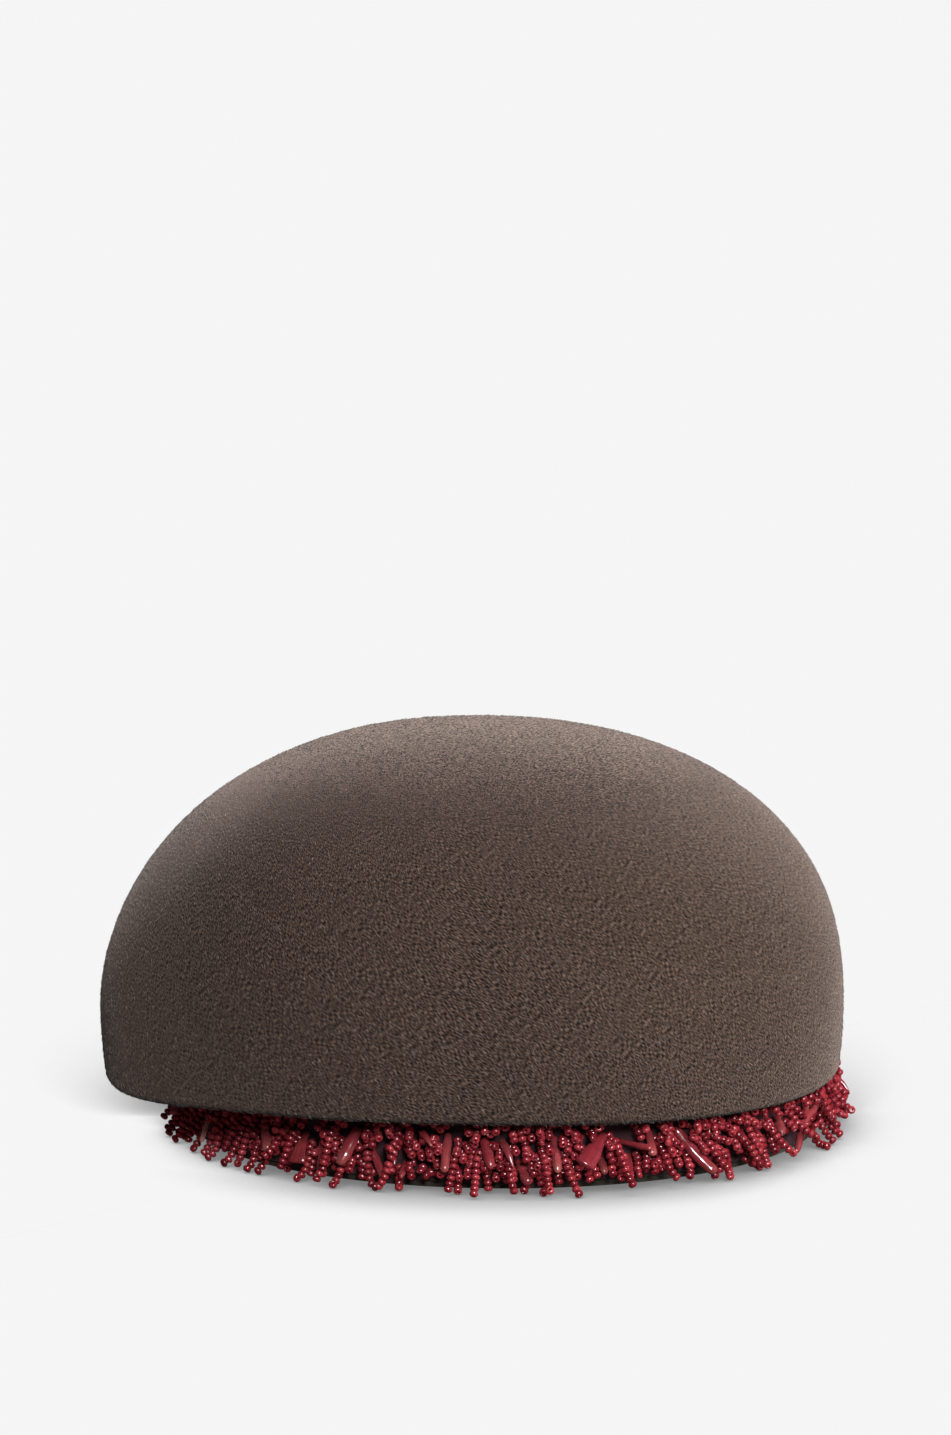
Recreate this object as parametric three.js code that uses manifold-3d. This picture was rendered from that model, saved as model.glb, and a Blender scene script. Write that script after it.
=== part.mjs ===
// A felt toque: a blocked dome whose edge is folded under, on a felt head band that carries a fringe of
// seed-bead strands and polished coral sticks. Millimetres, +Z up. The origin is on the surface that the
// hat rests on, under the middle of its whole length. +X runs along the head, and -Y is the side shown first.
// The pieces are drawn about the middle of the crown and then shifted along X.
import * as THREE from 'three';
import { ParametricGeometry } from 'three/addons/geometries/ParametricGeometry.js';
import { mergeVertices } from 'three/addons/utils/BufferGeometryUtils.js';
import Module from 'manifold-3d';

const wasm = await Module();
wasm.setup();

const TURN = 2 * Math.PI;
const SEGMENTS = 56; // facets round the crown, band and backing
const GAP = 0.3; // between pieces that touch
const WELD = 1e-4; // vertices closer than this are one
const CURVE_SAMPLES = 10; // points along a rod where its room is tested

// The crown's outline is a superellipse in plan and in height. An exponent of 2 is a plain ellipse, and a
// higher one is squarer. left is the -X end and right the +X end.
const CROWN = {
  halfLength: 112.3,
  halfWidth: 95,
  widestZ: 37.8,
  rise: 84.8, // from the widest level to the top
  wall: 2.5,
  plan: { left: 2.4, right: 2.1 },
  shoulder: { left: 1.97, right: 2.38 },
  lean: -3, // how far the top stands off the middle along X
  taper: 1.1, // how far the side draws in below the widest level
  fold: 3, // outer radius of the folded edge
  climbShares: [0, 0.1, 0.22, 0.36, 0.52, 0.68, 0.82, 0.92, 0.97, 1], // rows of facets up the dome
};

// The folded edge stands clear of the surface. It is highest part way along both sides, at peakX, and falls
// as a parabola to both ends.
const RIM = { leftZ: 16.3, rightZ: 17.2, peakZ: 22.2, peakX: -57 };

const BAND = { centreX: 10, halfLength: 95, halfWidth: 81, wall: 2, height: 32 };
const BACKING = { wall: 0.8, bottomZ: 2.2, underRim: 0.5, arcSteps: 5 };
const FRINGE_LENGTHS = 12; // the fringe is sewn on in lengths that meet end to end round the band

// Strands of seed beads, taken in bundles: tiers of roots up the backing, as a share of its height.
const LOCK = {
  perLength: 13,
  endMargin: 1.8, // degrees from the end of a length to the nearest bundle
  radius: 2,
  sides: 5,
  girth: [[0.02, 0.9], [0.5, 1], [0.92, 0.8]],
  reach: 10, // how far the longest tips stand off the band
  reachSpread: 1.5,
  stepSpread: 0.6, // how far a root strays round the band, as a share of the spacing
  turnSpread: 5, // degrees
  tipSpread: 3,
  bow: 2.4,
  lowestTip: 2.4,
  lengthShares: [1, 0.75, 0.5], // a bundle that meets coral is made shorter
};
const LOCK_TIERS = [
  { rootShare: 0.84, fall: 6 },
  { rootShare: 0.5, fall: 6 },
  { rootShare: 0.2, fall: 3 },
];

// How thick each kind of coral is along its length: along from 0, its root, to 1, its tip, and girth as a
// share of the full half width. depth is its thickness across, as a share of its width.
const CORAL_SIDES = 6;
const CORAL_KINDS = {
  stick: { depth: 0.8, bow: 0, girth: [[0.05, 0.78], [0.3, 0.9], [0.75, 1], [0.94, 0.84]] },
  bent: { depth: 0.85, bow: -1.6, girth: [[0.05, 0.78], [0.3, 0.92], [0.75, 1], [0.94, 0.86]] },
  horn: { depth: 0.85, bow: 2.2, girth: [[0.05, 0.7], [0.25, 1], [0.6, 0.78], [0.93, 0.34]] },
  stub: { depth: 0.9, bow: 0.4, girth: [[0.08, 0.8], [0.35, 1], [0.7, 0.96], [0.93, 0.7]] },
  petal: { depth: 0.42, bow: 1.4, girth: [[0.05, 0.36], [0.35, 0.5], [0.72, 0.86], [0.94, 0.94]] },
  fork: { depth: 0.85, bow: 0.8, girth: [[0.05, 0.9], [0.35, 1], [0.6, 0.95], [0.95, 0.75]] },
};
const FORK_ARM = { from: 0.45, turn: 3.5, rise: 10, reach: 4.5, width: 0.9 };

// The sticks along the side shown first. angle is where the root stands round the band in degrees, from +X
// towards +Y, and turn how far round the tip lies from it. reach is how far the tip stands off the band.
const FRONT_CORAL = [
  { kind: 'stick', angle: 206, turn: 4, rootZ: 13, tipZ: 4.5, reach: 9, width: 1.9 },
  { kind: 'stick', angle: 223, turn: 5, rootZ: 14.5, tipZ: 7.6, reach: 9, width: 3.2 },
  { kind: 'petal', angle: 233.3, turn: 1, rootZ: 13.5, tipZ: 5.5, reach: 9, width: 5.6 },
  { kind: 'stick', angle: 236.6, turn: 2, rootZ: 13.5, tipZ: 2.2, reach: 8.5, width: 2.4 },
  { kind: 'stick', angle: 244, turn: -1.4, rootZ: 17, tipZ: 7.2, reach: 10, width: 4.2 },
  { kind: 'stick', angle: 246, turn: 4, rootZ: 11.5, tipZ: 3.6, reach: 8, width: 2.4 },
  { kind: 'stub', angle: 249, turn: 2.6, rootZ: 12, tipZ: 8.4, reach: 7, width: 2.4 },
  { kind: 'stub', angle: 252.6, turn: 0, rootZ: 8, tipZ: 4, reach: 7, width: 2.2 },
  { kind: 'horn', angle: 255, turn: 3, rootZ: 17, tipZ: 14.5, reach: 9, width: 2.4 },
  { kind: 'stick', angle: 260, turn: 0, rootZ: 17, tipZ: 7, reach: 9, width: 2.9 },
  { kind: 'stub', angle: 266, turn: 1.5, rootZ: 15.5, tipZ: 8.5, reach: 9, width: 3.4 },
  { kind: 'horn', angle: 269, turn: 2, rootZ: 15, tipZ: 8.5, reach: 9, width: 2.6 },
  { kind: 'stick', angle: 272, turn: 1.5, rootZ: 9.5, tipZ: 3.5, reach: 8, width: 3.6 },
  { kind: 'stick', angle: 278, turn: 0, rootZ: 16, tipZ: 7, reach: 9, width: 2.8 },
  { kind: 'petal', angle: 287, turn: -5, rootZ: 16.2, tipZ: 9, reach: 10.5, width: 6.8 },
  { kind: 'stick', angle: 289.5, turn: 4, rootZ: 13.5, tipZ: 12.5, reach: 9.5, width: 2.2 },
  { kind: 'stub', angle: 286, turn: 0, rootZ: 9, tipZ: 5.5, reach: 7, width: 2.6 },
  { kind: 'stick', angle: 291, turn: -1, rootZ: 9.5, tipZ: 4, reach: 8.5, width: 2.6 },
  { kind: 'stick', angle: 295, turn: -1, rootZ: 16, tipZ: 10, reach: 8, width: 2.8 },
  { kind: 'bent', angle: 300, turn: 5, rootZ: 16, tipZ: 3.2, reach: 10.5, width: 3.7 },
  { kind: 'stick', angle: 315, turn: -2, rootZ: 12, tipZ: 7.5, reach: 8, width: 2 },
  { kind: 'stub', angle: 325, turn: -2.5, rootZ: 12.5, tipZ: 9, reach: 7, width: 3.2 },
  { kind: 'fork', angle: 337, turn: -12, rootZ: 13.5, tipZ: 3, reach: 9, width: 2.9 },
];

// The other side goes on in the same manner, evenly spaced and varied by a rule.
const BACK_CORAL = {
  count: 17,
  fromAngle: -14,
  toAngle: 192,
  kinds: ['stick', 'horn', 'stub', 'stick', 'petal', 'stick'],
  petalWidth: 5.8,
  width: { least: 2, spread: 1.4 },
  rootZ: { least: 11, spread: 5 },
  fall: { least: 4, spread: 4 },
  reach: { least: 7.5, spread: 2.5 },
  turn: { least: -3, spread: 6 },
};

const felt = new THREE.MeshStandardMaterial({ color: '#5a4c45', roughness: 0.95, metalness: 0 });
const bandFelt = new THREE.MeshStandardMaterial({ color: '#3a2e29', roughness: 0.95, metalness: 0 });
const seedBead = new THREE.MeshStandardMaterial({ color: '#8c2a34', roughness: 0.3, metalness: 0 });
const coral = new THREE.MeshStandardMaterial({ color: '#9c3b41', roughness: 0.25, metalness: 0 });

// A number from 0 to 1 that looks random and is the same every time.
function scatter(index, salt) {
  const wave = Math.sin(index * 12.9898 + salt * 78.233) * 43758.5453;
  return wave - Math.floor(wave);
}

function scatterIn(range, index, salt) {
  return range.least + range.spread * scatter(index, salt);
}

// A value that goes from left at the -X end to right at the +X end as the cosine of the angle does.
function alongHead(value, angle) {
  return (value.left + value.right) / 2 + ((value.right - value.left) / 2) * Math.cos(angle);
}

function signedPower(value, exponent) {
  return Math.sign(value) * Math.abs(value) ** exponent;
}

// A point of the crown's outline in plan, drawn in by inset.
function planPoint(angle, inset, z) {
  const exponent = 2 / alongHead(CROWN.plan, angle);
  const x = (CROWN.halfLength - inset) * signedPower(Math.cos(angle), exponent);
  const y = (CROWN.halfWidth - inset) * signedPower(Math.sin(angle), exponent);
  return new THREE.Vector3(x, y, z);
}

// The level of the folded edge: it depends only on how far along the head the point stands.
function rimZ(angle) {
  const offset = planPoint(angle, 0, 0).x - RIM.peakX;
  const [span, endZ] = offset < 0
    ? [CROWN.halfLength + RIM.peakX, RIM.leftZ]
    : [CROWN.halfLength - RIM.peakX, RIM.rightZ];
  return RIM.peakZ + (endZ - RIM.peakZ) * (offset / span) ** 2;
}

// The level of the backing's upper edge, just under the felt that is turned in.
function backingTopZ(angle) {
  return rimZ(angle) - BACKING.underRim;
}

// A point of the dome: climb goes from 0 at the widest level to a quarter turn at the top.
function domePoint(angle, climb, inset) {
  const exponent = 2 / alongHead(CROWN.shoulder, angle);
  const spread = Math.max(Math.cos(climb), 0) ** exponent;
  const height = Math.sin(climb) ** exponent;
  const point = planPoint(angle, inset, 0).multiplyScalar(spread);
  point.x += CROWN.lean * Math.sin(climb) ** 2;
  point.z = CROWN.widestZ + (CROWN.rise - inset) * height;
  return point;
}

// A point of the side below the widest level: fall goes from 0 there to 1 at endZ.
function sidePoint(angle, fall, inset, endZ) {
  const z = CROWN.widestZ + (endZ - CROWN.widestZ) * fall;
  return planPoint(angle, inset + CROWN.taper * fall * fall, z);
}

// A point of the rounded fold: bend goes from 0 at the side to a quarter turn underneath.
function foldPoint(angle, bend) {
  const inset = CROWN.taper + CROWN.fold * (1 - Math.cos(bend));
  const z = rimZ(angle) + CROWN.fold * (1 - Math.sin(bend));
  return planPoint(angle, inset, z);
}

// A point of the head band's outline at an angle, standing off its outer face by out.
function bandPoint(angle, out, z) {
  const x = BAND.centreX + (BAND.halfLength + out) * Math.cos(angle);
  const y = (BAND.halfWidth + out) * Math.sin(angle);
  return new THREE.Vector3(x, y, z);
}

// Evenly spaced steps from first to last, both included.
function steps(first, last, count) {
  return Array.from({ length: count + 1 }, (_, i) => first + ((last - first) * i) / count);
}

// A closed skin: each row gives a loop of points round the hat, and neighbouring rows are joined.
function skin(rows) {
  const surface = (u, v, target) => {
    const row = rows[Math.round(u * (rows.length - 1))];
    target.copy(row(v * TURN));
  };
  return new ParametricGeometry(surface, rows.length - 1, SEGMENTS);
}

// The dome's outside, its folded edge, the felt turned in to the head band, and the dome's inside.
function crownGeometry() {
  const quarter = Math.PI / 2;
  const { wall, fold, taper } = CROWN;
  const climbs = CROWN.climbShares.map((share) => share * quarter);
  const outside = climbs.map((climb) => (angle) => domePoint(angle, climb, 0)).reverse();
  const side = [0.5, 1].map((fall) => (angle) => sidePoint(angle, fall, 0, rimZ(angle) + fold));
  const edge = steps(quarter / 3, quarter, 2).map((bend) => (angle) => foldPoint(angle, bend));
  const turnedIn = [0, wall].map((up) => (angle) => bandPoint(angle, GAP, rimZ(angle) + up));
  const corner = (angle) => planPoint(angle, taper + wall, rimZ(angle) + wall);
  const innerSide = (angle) => sidePoint(angle, 0.5, wall, rimZ(angle) + wall);
  const inside = climbs.map((climb) => (angle) => domePoint(angle, climb, wall));
  return skin([...outside, ...side, ...edge, ...turnedIn, corner, innerSide, ...inside]);
}

// The head band, an upright ring.
function bandGeometry() {
  const edge = (out, z) => (angle) => bandPoint(angle, out, z);
  const { wall, height } = BAND;
  return skin([edge(0, height), edge(0, 0), edge(-wall, 0), edge(-wall, height), edge(0, height)]);
}

// A round rod along a curve, with a girth that changes along it, from a turned profile that is then bent.
// side is the direction across it, and depth its thickness the other way as a share of its width.
function rodGeometry({ curve, side, girth, halfWidth, depth, sides }) {
  const ends = [[0, 0], ...girth, [1, 0]];
  const profile = ends.map(([along, share]) => new THREE.Vector2(share * halfWidth, along));
  const geometry = new THREE.LatheGeometry(profile, sides);
  const places = geometry.getAttribute('position');
  const vertex = new THREE.Vector3();
  for (let i = 0; i < places.count; i += 1) {
    vertex.fromBufferAttribute(places, i);
    const along = THREE.MathUtils.clamp(vertex.y, 0, 1);
    const forward = curve.getTangent(along);
    const thick = new THREE.Vector3().crossVectors(side, forward).normalize();
    const across = new THREE.Vector3().crossVectors(forward, thick);
    const place = curve.getPoint(along);
    place.addScaledVector(across, vertex.x).addScaledVector(thick, vertex.z * depth);
    places.setXYZ(i, place.x, place.y, place.z);
  }
  return geometry;
}

// The way out of the band at an angle, and the way round it.
function bandDirections(angle) {
  const outward = new THREE.Vector3(Math.cos(angle) / BAND.halfLength, Math.sin(angle) / BAND.halfWidth, 0);
  outward.normalize();
  return { outward, round: new THREE.Vector3(-outward.y, outward.x, 0) };
}

// The curve of a rod from its root on the backing to its tip. bow lifts its middle off a straight line.
function rodCurve({ angle, turn, rootOut, rootZ, reach, tipZ, bow }) {
  const start = THREE.MathUtils.degToRad(angle);
  const { outward } = bandDirections(start);
  const root = bandPoint(start, rootOut, rootZ);
  const tip = bandPoint(start + THREE.MathUtils.degToRad(turn), reach, tipZ);
  const middle = root.clone().add(tip).multiplyScalar(0.5);
  middle.addScaledVector(outward, bow);
  middle.z += bow;
  return new THREE.QuadraticBezierCurve3(root, middle, tip);
}

function solidOf(geometry) {
  geometry.deleteAttribute('normal');
  geometry.deleteAttribute('uv');
  const merged = mergeVertices(geometry, WELD);
  const index = merged.getIndex().array;
  const triangles = [];
  for (let i = 0; i < index.length; i += 3) {
    const [a, b, c] = [index[i], index[i + 1], index[i + 2]];
    if (a !== b && b !== c && c !== a) triangles.push(a, b, c);
  }
  const vertProperties = new Float32Array(merged.getAttribute('position').array);
  const triVerts = new Uint32Array(triangles);
  return new wasm.Manifold(new wasm.Mesh({ numProp: 3, vertProperties, triVerts }));
}

function geometryOf(solid) {
  const mesh = solid.getMesh();
  const geometry = new THREE.BufferGeometry();
  geometry.setAttribute('position', new THREE.BufferAttribute(new Float32Array(mesh.vertProperties), 3));
  geometry.setIndex(new THREE.BufferAttribute(new Uint32Array(mesh.triVerts), 1));
  return geometry;
}

const backingFace = GAP + BACKING.wall;

// Where a coral's root is seated: its rounded end stays clear of the backing however steeply it lies.
function coralCurve(row) {
  const { bow, depth, girth } = CORAL_KINDS[row.kind];
  const [[rootAlong, rootGirth]] = girth;
  const drop = row.rootZ - row.tipZ;
  const run = row.reach - backingFace;
  const lean = (rootGirth * depth * row.width * drop) / (2 * Math.hypot(drop, run));
  const rootOut = backingFace + GAP + Math.max(0, lean - rootAlong * run);
  return rodCurve({ ...row, rootOut, bow });
}

function coralRod(row, curve, widthShare) {
  const { depth, girth } = CORAL_KINDS[row.kind];
  const { round } = bandDirections(THREE.MathUtils.degToRad(row.angle));
  const halfWidth = (row.width / 2) * widthShare;
  return rodGeometry({ curve, side: round, girth, halfWidth, depth, sides: CORAL_SIDES });
}

// A forked piece has a second arm that leaves the first part way along.
function forkArmCurve(row) {
  const root = coralCurve(row).getPoint(FORK_ARM.from);
  const tipAngle = THREE.MathUtils.degToRad(row.angle + FORK_ARM.turn);
  const tip = bandPoint(tipAngle, FORK_ARM.reach, row.tipZ + FORK_ARM.rise);
  return new THREE.LineCurve3(root, tip);
}

function coralCurves(row) {
  return row.kind === 'fork' ? [coralCurve(row), forkArmCurve(row)] : [coralCurve(row)];
}

function coralGeometry(row) {
  const [stem, arm] = coralCurves(row);
  const stemGeometry = coralRod(row, stem, 1);
  if (!arm) return stemGeometry;
  return geometryOf(solidOf(stemGeometry).add(solidOf(coralRod(row, arm, FORK_ARM.width))));
}

function backCoral() {
  const { count, fromAngle, toAngle, kinds } = BACK_CORAL;
  return steps(fromAngle, toAngle, count - 1).map((angle, i) => {
    const kind = kinds[i % kinds.length];
    const rootZ = scatterIn(BACK_CORAL.rootZ, i, 1);
    return {
      kind,
      angle,
      turn: scatterIn(BACK_CORAL.turn, i, 2),
      rootZ,
      tipZ: rootZ - scatterIn(BACK_CORAL.fall, i, 3),
      reach: scatterIn(BACK_CORAL.reach, i, 4),
      width: kind === 'petal' ? BACK_CORAL.petalWidth : scatterIn(BACK_CORAL.width, i, 5),
    };
  });
}

// The backing of one length of the fringe: a thin bar that follows the band from one angle to another, in
// degrees. Each of its ends closes on the middle of the section.
function backingGeometry(fromAngle, toAngle) {
  const angles = steps(fromAngle, toAngle, BACKING.arcSteps).map(THREE.MathUtils.degToRad);
  const sections = angles.map((angle) => {
    const [topZ, bottomZ] = [backingTopZ(angle), BACKING.bottomZ];
    const corners = [[backingFace, topZ], [GAP, topZ], [GAP, bottomZ], [backingFace, bottomZ]];
    return corners.map(([out, z]) => bandPoint(angle, out, z));
  });
  const middle = ([a, , c]) => Array(sections[0].length).fill(a.clone().lerp(c, 0.5));
  const loops = [middle(sections[0]), ...sections, middle(sections.at(-1))];
  const surface = (u, v, target) => {
    const loop = loops[Math.round(u * (loops.length - 1))];
    target.copy(loop[Math.round(v * loop.length) % loop.length]);
  };
  return new ParametricGeometry(surface, loops.length - 1, sections[0].length);
}

// A bundle of strands between two angles: out of the backing, then drooping towards its tip.
function lockRow(index, firstAngle, lastAngle) {
  const tier = LOCK_TIERS[index % LOCK_TIERS.length];
  const place = (index % LOCK.perLength) + LOCK.stepSpread * scatter(index, 6);
  const mostPlaces = LOCK.perLength - 1 + LOCK.stepSpread;
  const angle = firstAngle + ((lastAngle - firstAngle) * place) / mostPlaces;
  const leaning = angle + LOCK.turnSpread * (scatter(index, 7) - 0.5);
  const topZ = backingTopZ(THREE.MathUtils.degToRad(angle));
  const rootZ = BACKING.bottomZ + tier.rootShare * (topZ - BACKING.bottomZ);
  const tipZ = rootZ - tier.fall + LOCK.tipSpread * (scatter(index, 9) - 0.5);
  return {
    angle,
    turn: THREE.MathUtils.clamp(leaning, firstAngle, lastAngle) - angle,
    rootOut: GAP + BACKING.wall / 2,
    rootZ,
    reach: LOCK.reach - LOCK.reachSpread * scatter(index, 8),
    tipZ: Math.max(tipZ, LOCK.lowestTip),
    bow: LOCK.bow,
  };
}

// Whether a bundle along one curve would touch a coral along another.
function touches(lockCurve, coralRow) {
  const clear = LOCK.radius + coralRow.width / 2 + GAP;
  const lockPoints = lockCurve.getPoints(CURVE_SAMPLES);
  const coralPoints = coralCurves(coralRow).flatMap((curve) => curve.getPoints(CURVE_SAMPLES));
  return lockPoints.some((p) => coralPoints.some((q) => p.distanceTo(q) < clear));
}

// The longest curve of a bundle that has room beside the coral, or nothing.
function roomyCurve(row, coralRows) {
  const curves = LOCK.lengthShares.map((share) => rodCurve({
    ...row,
    reach: row.rootOut + share * (row.reach - row.rootOut),
    tipZ: row.rootZ + share * (row.tipZ - row.rootZ),
    bow: row.bow * share,
  }));
  return curves.find((curve) => !coralRows.some((coralRow) => touches(curve, coralRow)));
}

// One length of the fringe: its backing and every bundle of strands that has room beside the coral, fused.
function fringeGeometry(length, coralRows) {
  const { perLength, endMargin, girth, radius, sides } = LOCK;
  const span = 360 / FRINGE_LENGTHS;
  const endGap = THREE.MathUtils.radToDeg(GAP / 2 / BAND.halfWidth);
  const [fromAngle, toAngle] = [length * span, (length + 1) * span];
  let fringe = solidOf(backingGeometry(fromAngle + endGap, toAngle - endGap));
  for (let i = 0; i < perLength; i += 1) {
    const row = lockRow(length * perLength + i, fromAngle + endMargin, toAngle - endMargin);
    const curve = roomyCurve(row, coralRows);
    if (!curve) continue;
    const { round } = bandDirections(THREE.MathUtils.degToRad(row.angle));
    const shape = { curve, side: round, girth, halfWidth: radius, depth: 1, sides };
    fringe = fringe.add(solidOf(rodGeometry(shape)));
  }
  return geometryOf(fringe);
}

function numbered(name, index) {
  return `${name}_${String(index + 1).padStart(2, '0')}`;
}

function named(name, geometry, material) {
  const mesh = new THREE.Mesh(geometry, material);
  mesh.name = name;
  return mesh;
}

const coralRows = [...FRONT_CORAL, ...backCoral()];
const fringeEndX = BAND.centreX + BAND.halfLength + LOCK.reach;
const hat = new THREE.Group();
hat.position.x = (CROWN.halfLength - fringeEndX) / 2;
hat.add(named('crown', crownGeometry(), felt));
hat.add(named('band', bandGeometry(), bandFelt));
for (let i = 0; i < FRINGE_LENGTHS; i += 1) {
  hat.add(named(numbered('bead_fringe', i), fringeGeometry(i, coralRows), seedBead));
}
coralRows.forEach((row, i) => {
  hat.add(named(numbered('coral', i), coralGeometry(row), coral));
});

export default hat;
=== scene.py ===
"""A felt toque with a fringe of seed beads and coral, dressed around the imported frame.

Sizes are in millimetres about the middle of the crown until a mesh is written. Then they move to the frame's
own place and become metres. Angles round the hat run from +X towards +Y, and the -Y side faces the camera.
"""

import logging
from dataclasses import dataclass
from enum import Enum
from typing import ClassVar

import bpy
import numpy as np
from bpy.types import Material, Node, NodeSocket, NodeTree, Object
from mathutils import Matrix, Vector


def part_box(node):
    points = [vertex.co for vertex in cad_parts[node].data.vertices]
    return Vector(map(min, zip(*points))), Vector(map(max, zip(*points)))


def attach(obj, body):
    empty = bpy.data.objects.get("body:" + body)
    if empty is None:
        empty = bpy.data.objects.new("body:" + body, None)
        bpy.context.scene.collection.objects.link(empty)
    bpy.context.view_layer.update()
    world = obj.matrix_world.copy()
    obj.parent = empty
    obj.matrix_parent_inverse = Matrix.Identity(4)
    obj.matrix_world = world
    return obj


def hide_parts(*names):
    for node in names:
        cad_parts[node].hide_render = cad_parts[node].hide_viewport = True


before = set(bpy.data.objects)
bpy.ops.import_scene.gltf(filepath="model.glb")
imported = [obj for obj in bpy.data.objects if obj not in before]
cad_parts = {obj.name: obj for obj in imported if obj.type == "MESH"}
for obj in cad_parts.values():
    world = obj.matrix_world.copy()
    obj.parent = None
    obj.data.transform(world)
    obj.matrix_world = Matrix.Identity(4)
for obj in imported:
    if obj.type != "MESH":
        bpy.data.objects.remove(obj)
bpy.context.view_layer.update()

LOG = logging.getLogger("toque")
BODY = "root"
MM = 0.001
TURN = 2 * np.pi
QUARTER = np.pi / 2
TINY = 1e-9  # stands in for a length of nothing where one is divided by
GAP = 0.3  # between pieces that touch
NAP_SEAM = QUARTER  # where the felt's own coordinates start and end: the middle of the back

Array, Chance = np.ndarray, np.random.RandomState
Pair, Triple = tuple[float, float], tuple[float, float, float]


def linear(hex_colour: str) -> tuple[float, float, float, float]:
    """Turns an sRGB hex colour into linear red, green, blue and alpha.

    Args:
        hex_colour: a hash sign and six hex digits.

    Returns:
        The linear colour, with an alpha of 1.
    """
    raw = np.array([int(hex_colour[i:i + 2], 16) for i in (1, 3, 5)]) / 255
    bright = ((raw + 0.055) / 1.055) ** 2.4
    return (*np.where(raw <= 0.04045, raw / 12.92, bright).tolist(), 1.0)


def scatter(index: Array, salt: int) -> Array:
    """Numbers from 0 to 1 that look random: what follows the point in a large multiple of a sine."""
    wave = np.sin(np.asarray(index) * 12.9898 + salt * 78.233) * 43758.5453
    return wave - np.floor(wave)


def lengths_of(vectors: Array) -> Array:
    """The length of each vector of an array, never less than a tiny one, so that it can be divided by."""
    return np.maximum(np.linalg.norm(vectors, axis=-1, keepdims=True), TINY)


def unit(vectors: Array) -> Array:
    """Scales each vector of an array to a length of 1."""
    return vectors / lengths_of(vectors)


def signed_power(value: Array, exponent: Array) -> Array:
    """Raises the size of each value to a power and keeps its sign."""
    return np.sign(value) * np.abs(value) ** exponent


@dataclass(frozen=True)
class Blend:
    """A smooth step from 0 at low to 1 at high."""

    low: float
    high: float

    def at(self, value: Array) -> Array:
        """Gives 3 t squared minus 2 t cubed, where t is the share of the way from low to high."""
        share = np.clip((value - self.low) / (self.high - self.low), 0, 1)
        return share * share * (3 - 2 * share)


def add_node(tree: NodeTree, kind: str, inputs: dict[int | str, object] | None = None,
             stops: dict[float, str] | None = None, **settings: object) -> Node:
    """Adds a node with its settings and links.

    Args:
        tree: the node tree.
        kind: Blender's name for the kind of node, after the word ShaderNode.
        inputs: what each input socket holds: another node's output socket, or a plain value.
        stops: for a colour ramp, a hex colour at each place from 0 to 1.
        settings: the node's own properties.

    Returns:
        The new node.
    """
    node = tree.nodes.new("ShaderNode" + kind)
    for name, value in settings.items():
        setattr(node, name, value)
    for socket, source in (inputs or {}).items():
        if isinstance(source, NodeSocket):
            tree.links.new(source, node.inputs[socket])
        else:
            node.inputs[socket].default_value = source
    if stops:
        elements = node.color_ramp.elements
        while len(elements) < len(stops):
            elements.new(0.5)
        for element, (place, colour) in zip(elements, sorted(stops.items())):
            element.position = place
            element.color = linear(colour)
    return node


class Finish:
    """A finish that makes its material once and gives the same one to every piece.

    Attributes:
        name: the material's name.
        made: the materials made so far, by name.
    """

    name: str
    made: ClassVar[dict[str, Material]] = {}

    def material(self) -> Material:
        """Gives the finish's material, and makes it the first time.

        Returns:
            The material.
        """
        if self.name not in Finish.made:
            material = bpy.data.materials.new(self.name)
            material.use_nodes = True
            tree = material.node_tree
            tree.nodes.clear()
            shader = self.shader(tree)
            add_node(tree, "OutputMaterial", {"Surface": shader.outputs[0]})
            Finish.made[self.name] = material
        return Finish.made[self.name]

    def shader(self, tree: NodeTree) -> Node:
        """Adds the finish's own nodes and gives the last of them."""
        raise NotImplementedError

    def clouded(self, tree: NodeTree, tone: NodeSocket, size: float, depth: float,
                **noise: float) -> NodeSocket:
        """Adds clouds to a tone: noise on Object coordinates, as much lighter as darker.

        Args:
            tree: the node tree.
            tone: the tone without them.
            size: the clouds' size.
            depth: how strong they are.
            noise: what else the noise's sockets hold.

        Returns:
            The clouded tone's socket.
        """
        place = add_node(tree, "TexCoord").outputs["Object"]
        clouds = add_node(tree, "TexNoise", {"Vector": place, "Scale": 1 / (size * MM), **noise})
        share = {0: clouds.outputs["Fac"], 1: depth, 2: -depth / 2}
        change = add_node(tree, "Math", share, operation="MULTIPLY_ADD")
        return add_node(tree, "Math", {0: tone, 1: change.outputs[0]}, operation="ADD").outputs[0]


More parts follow.
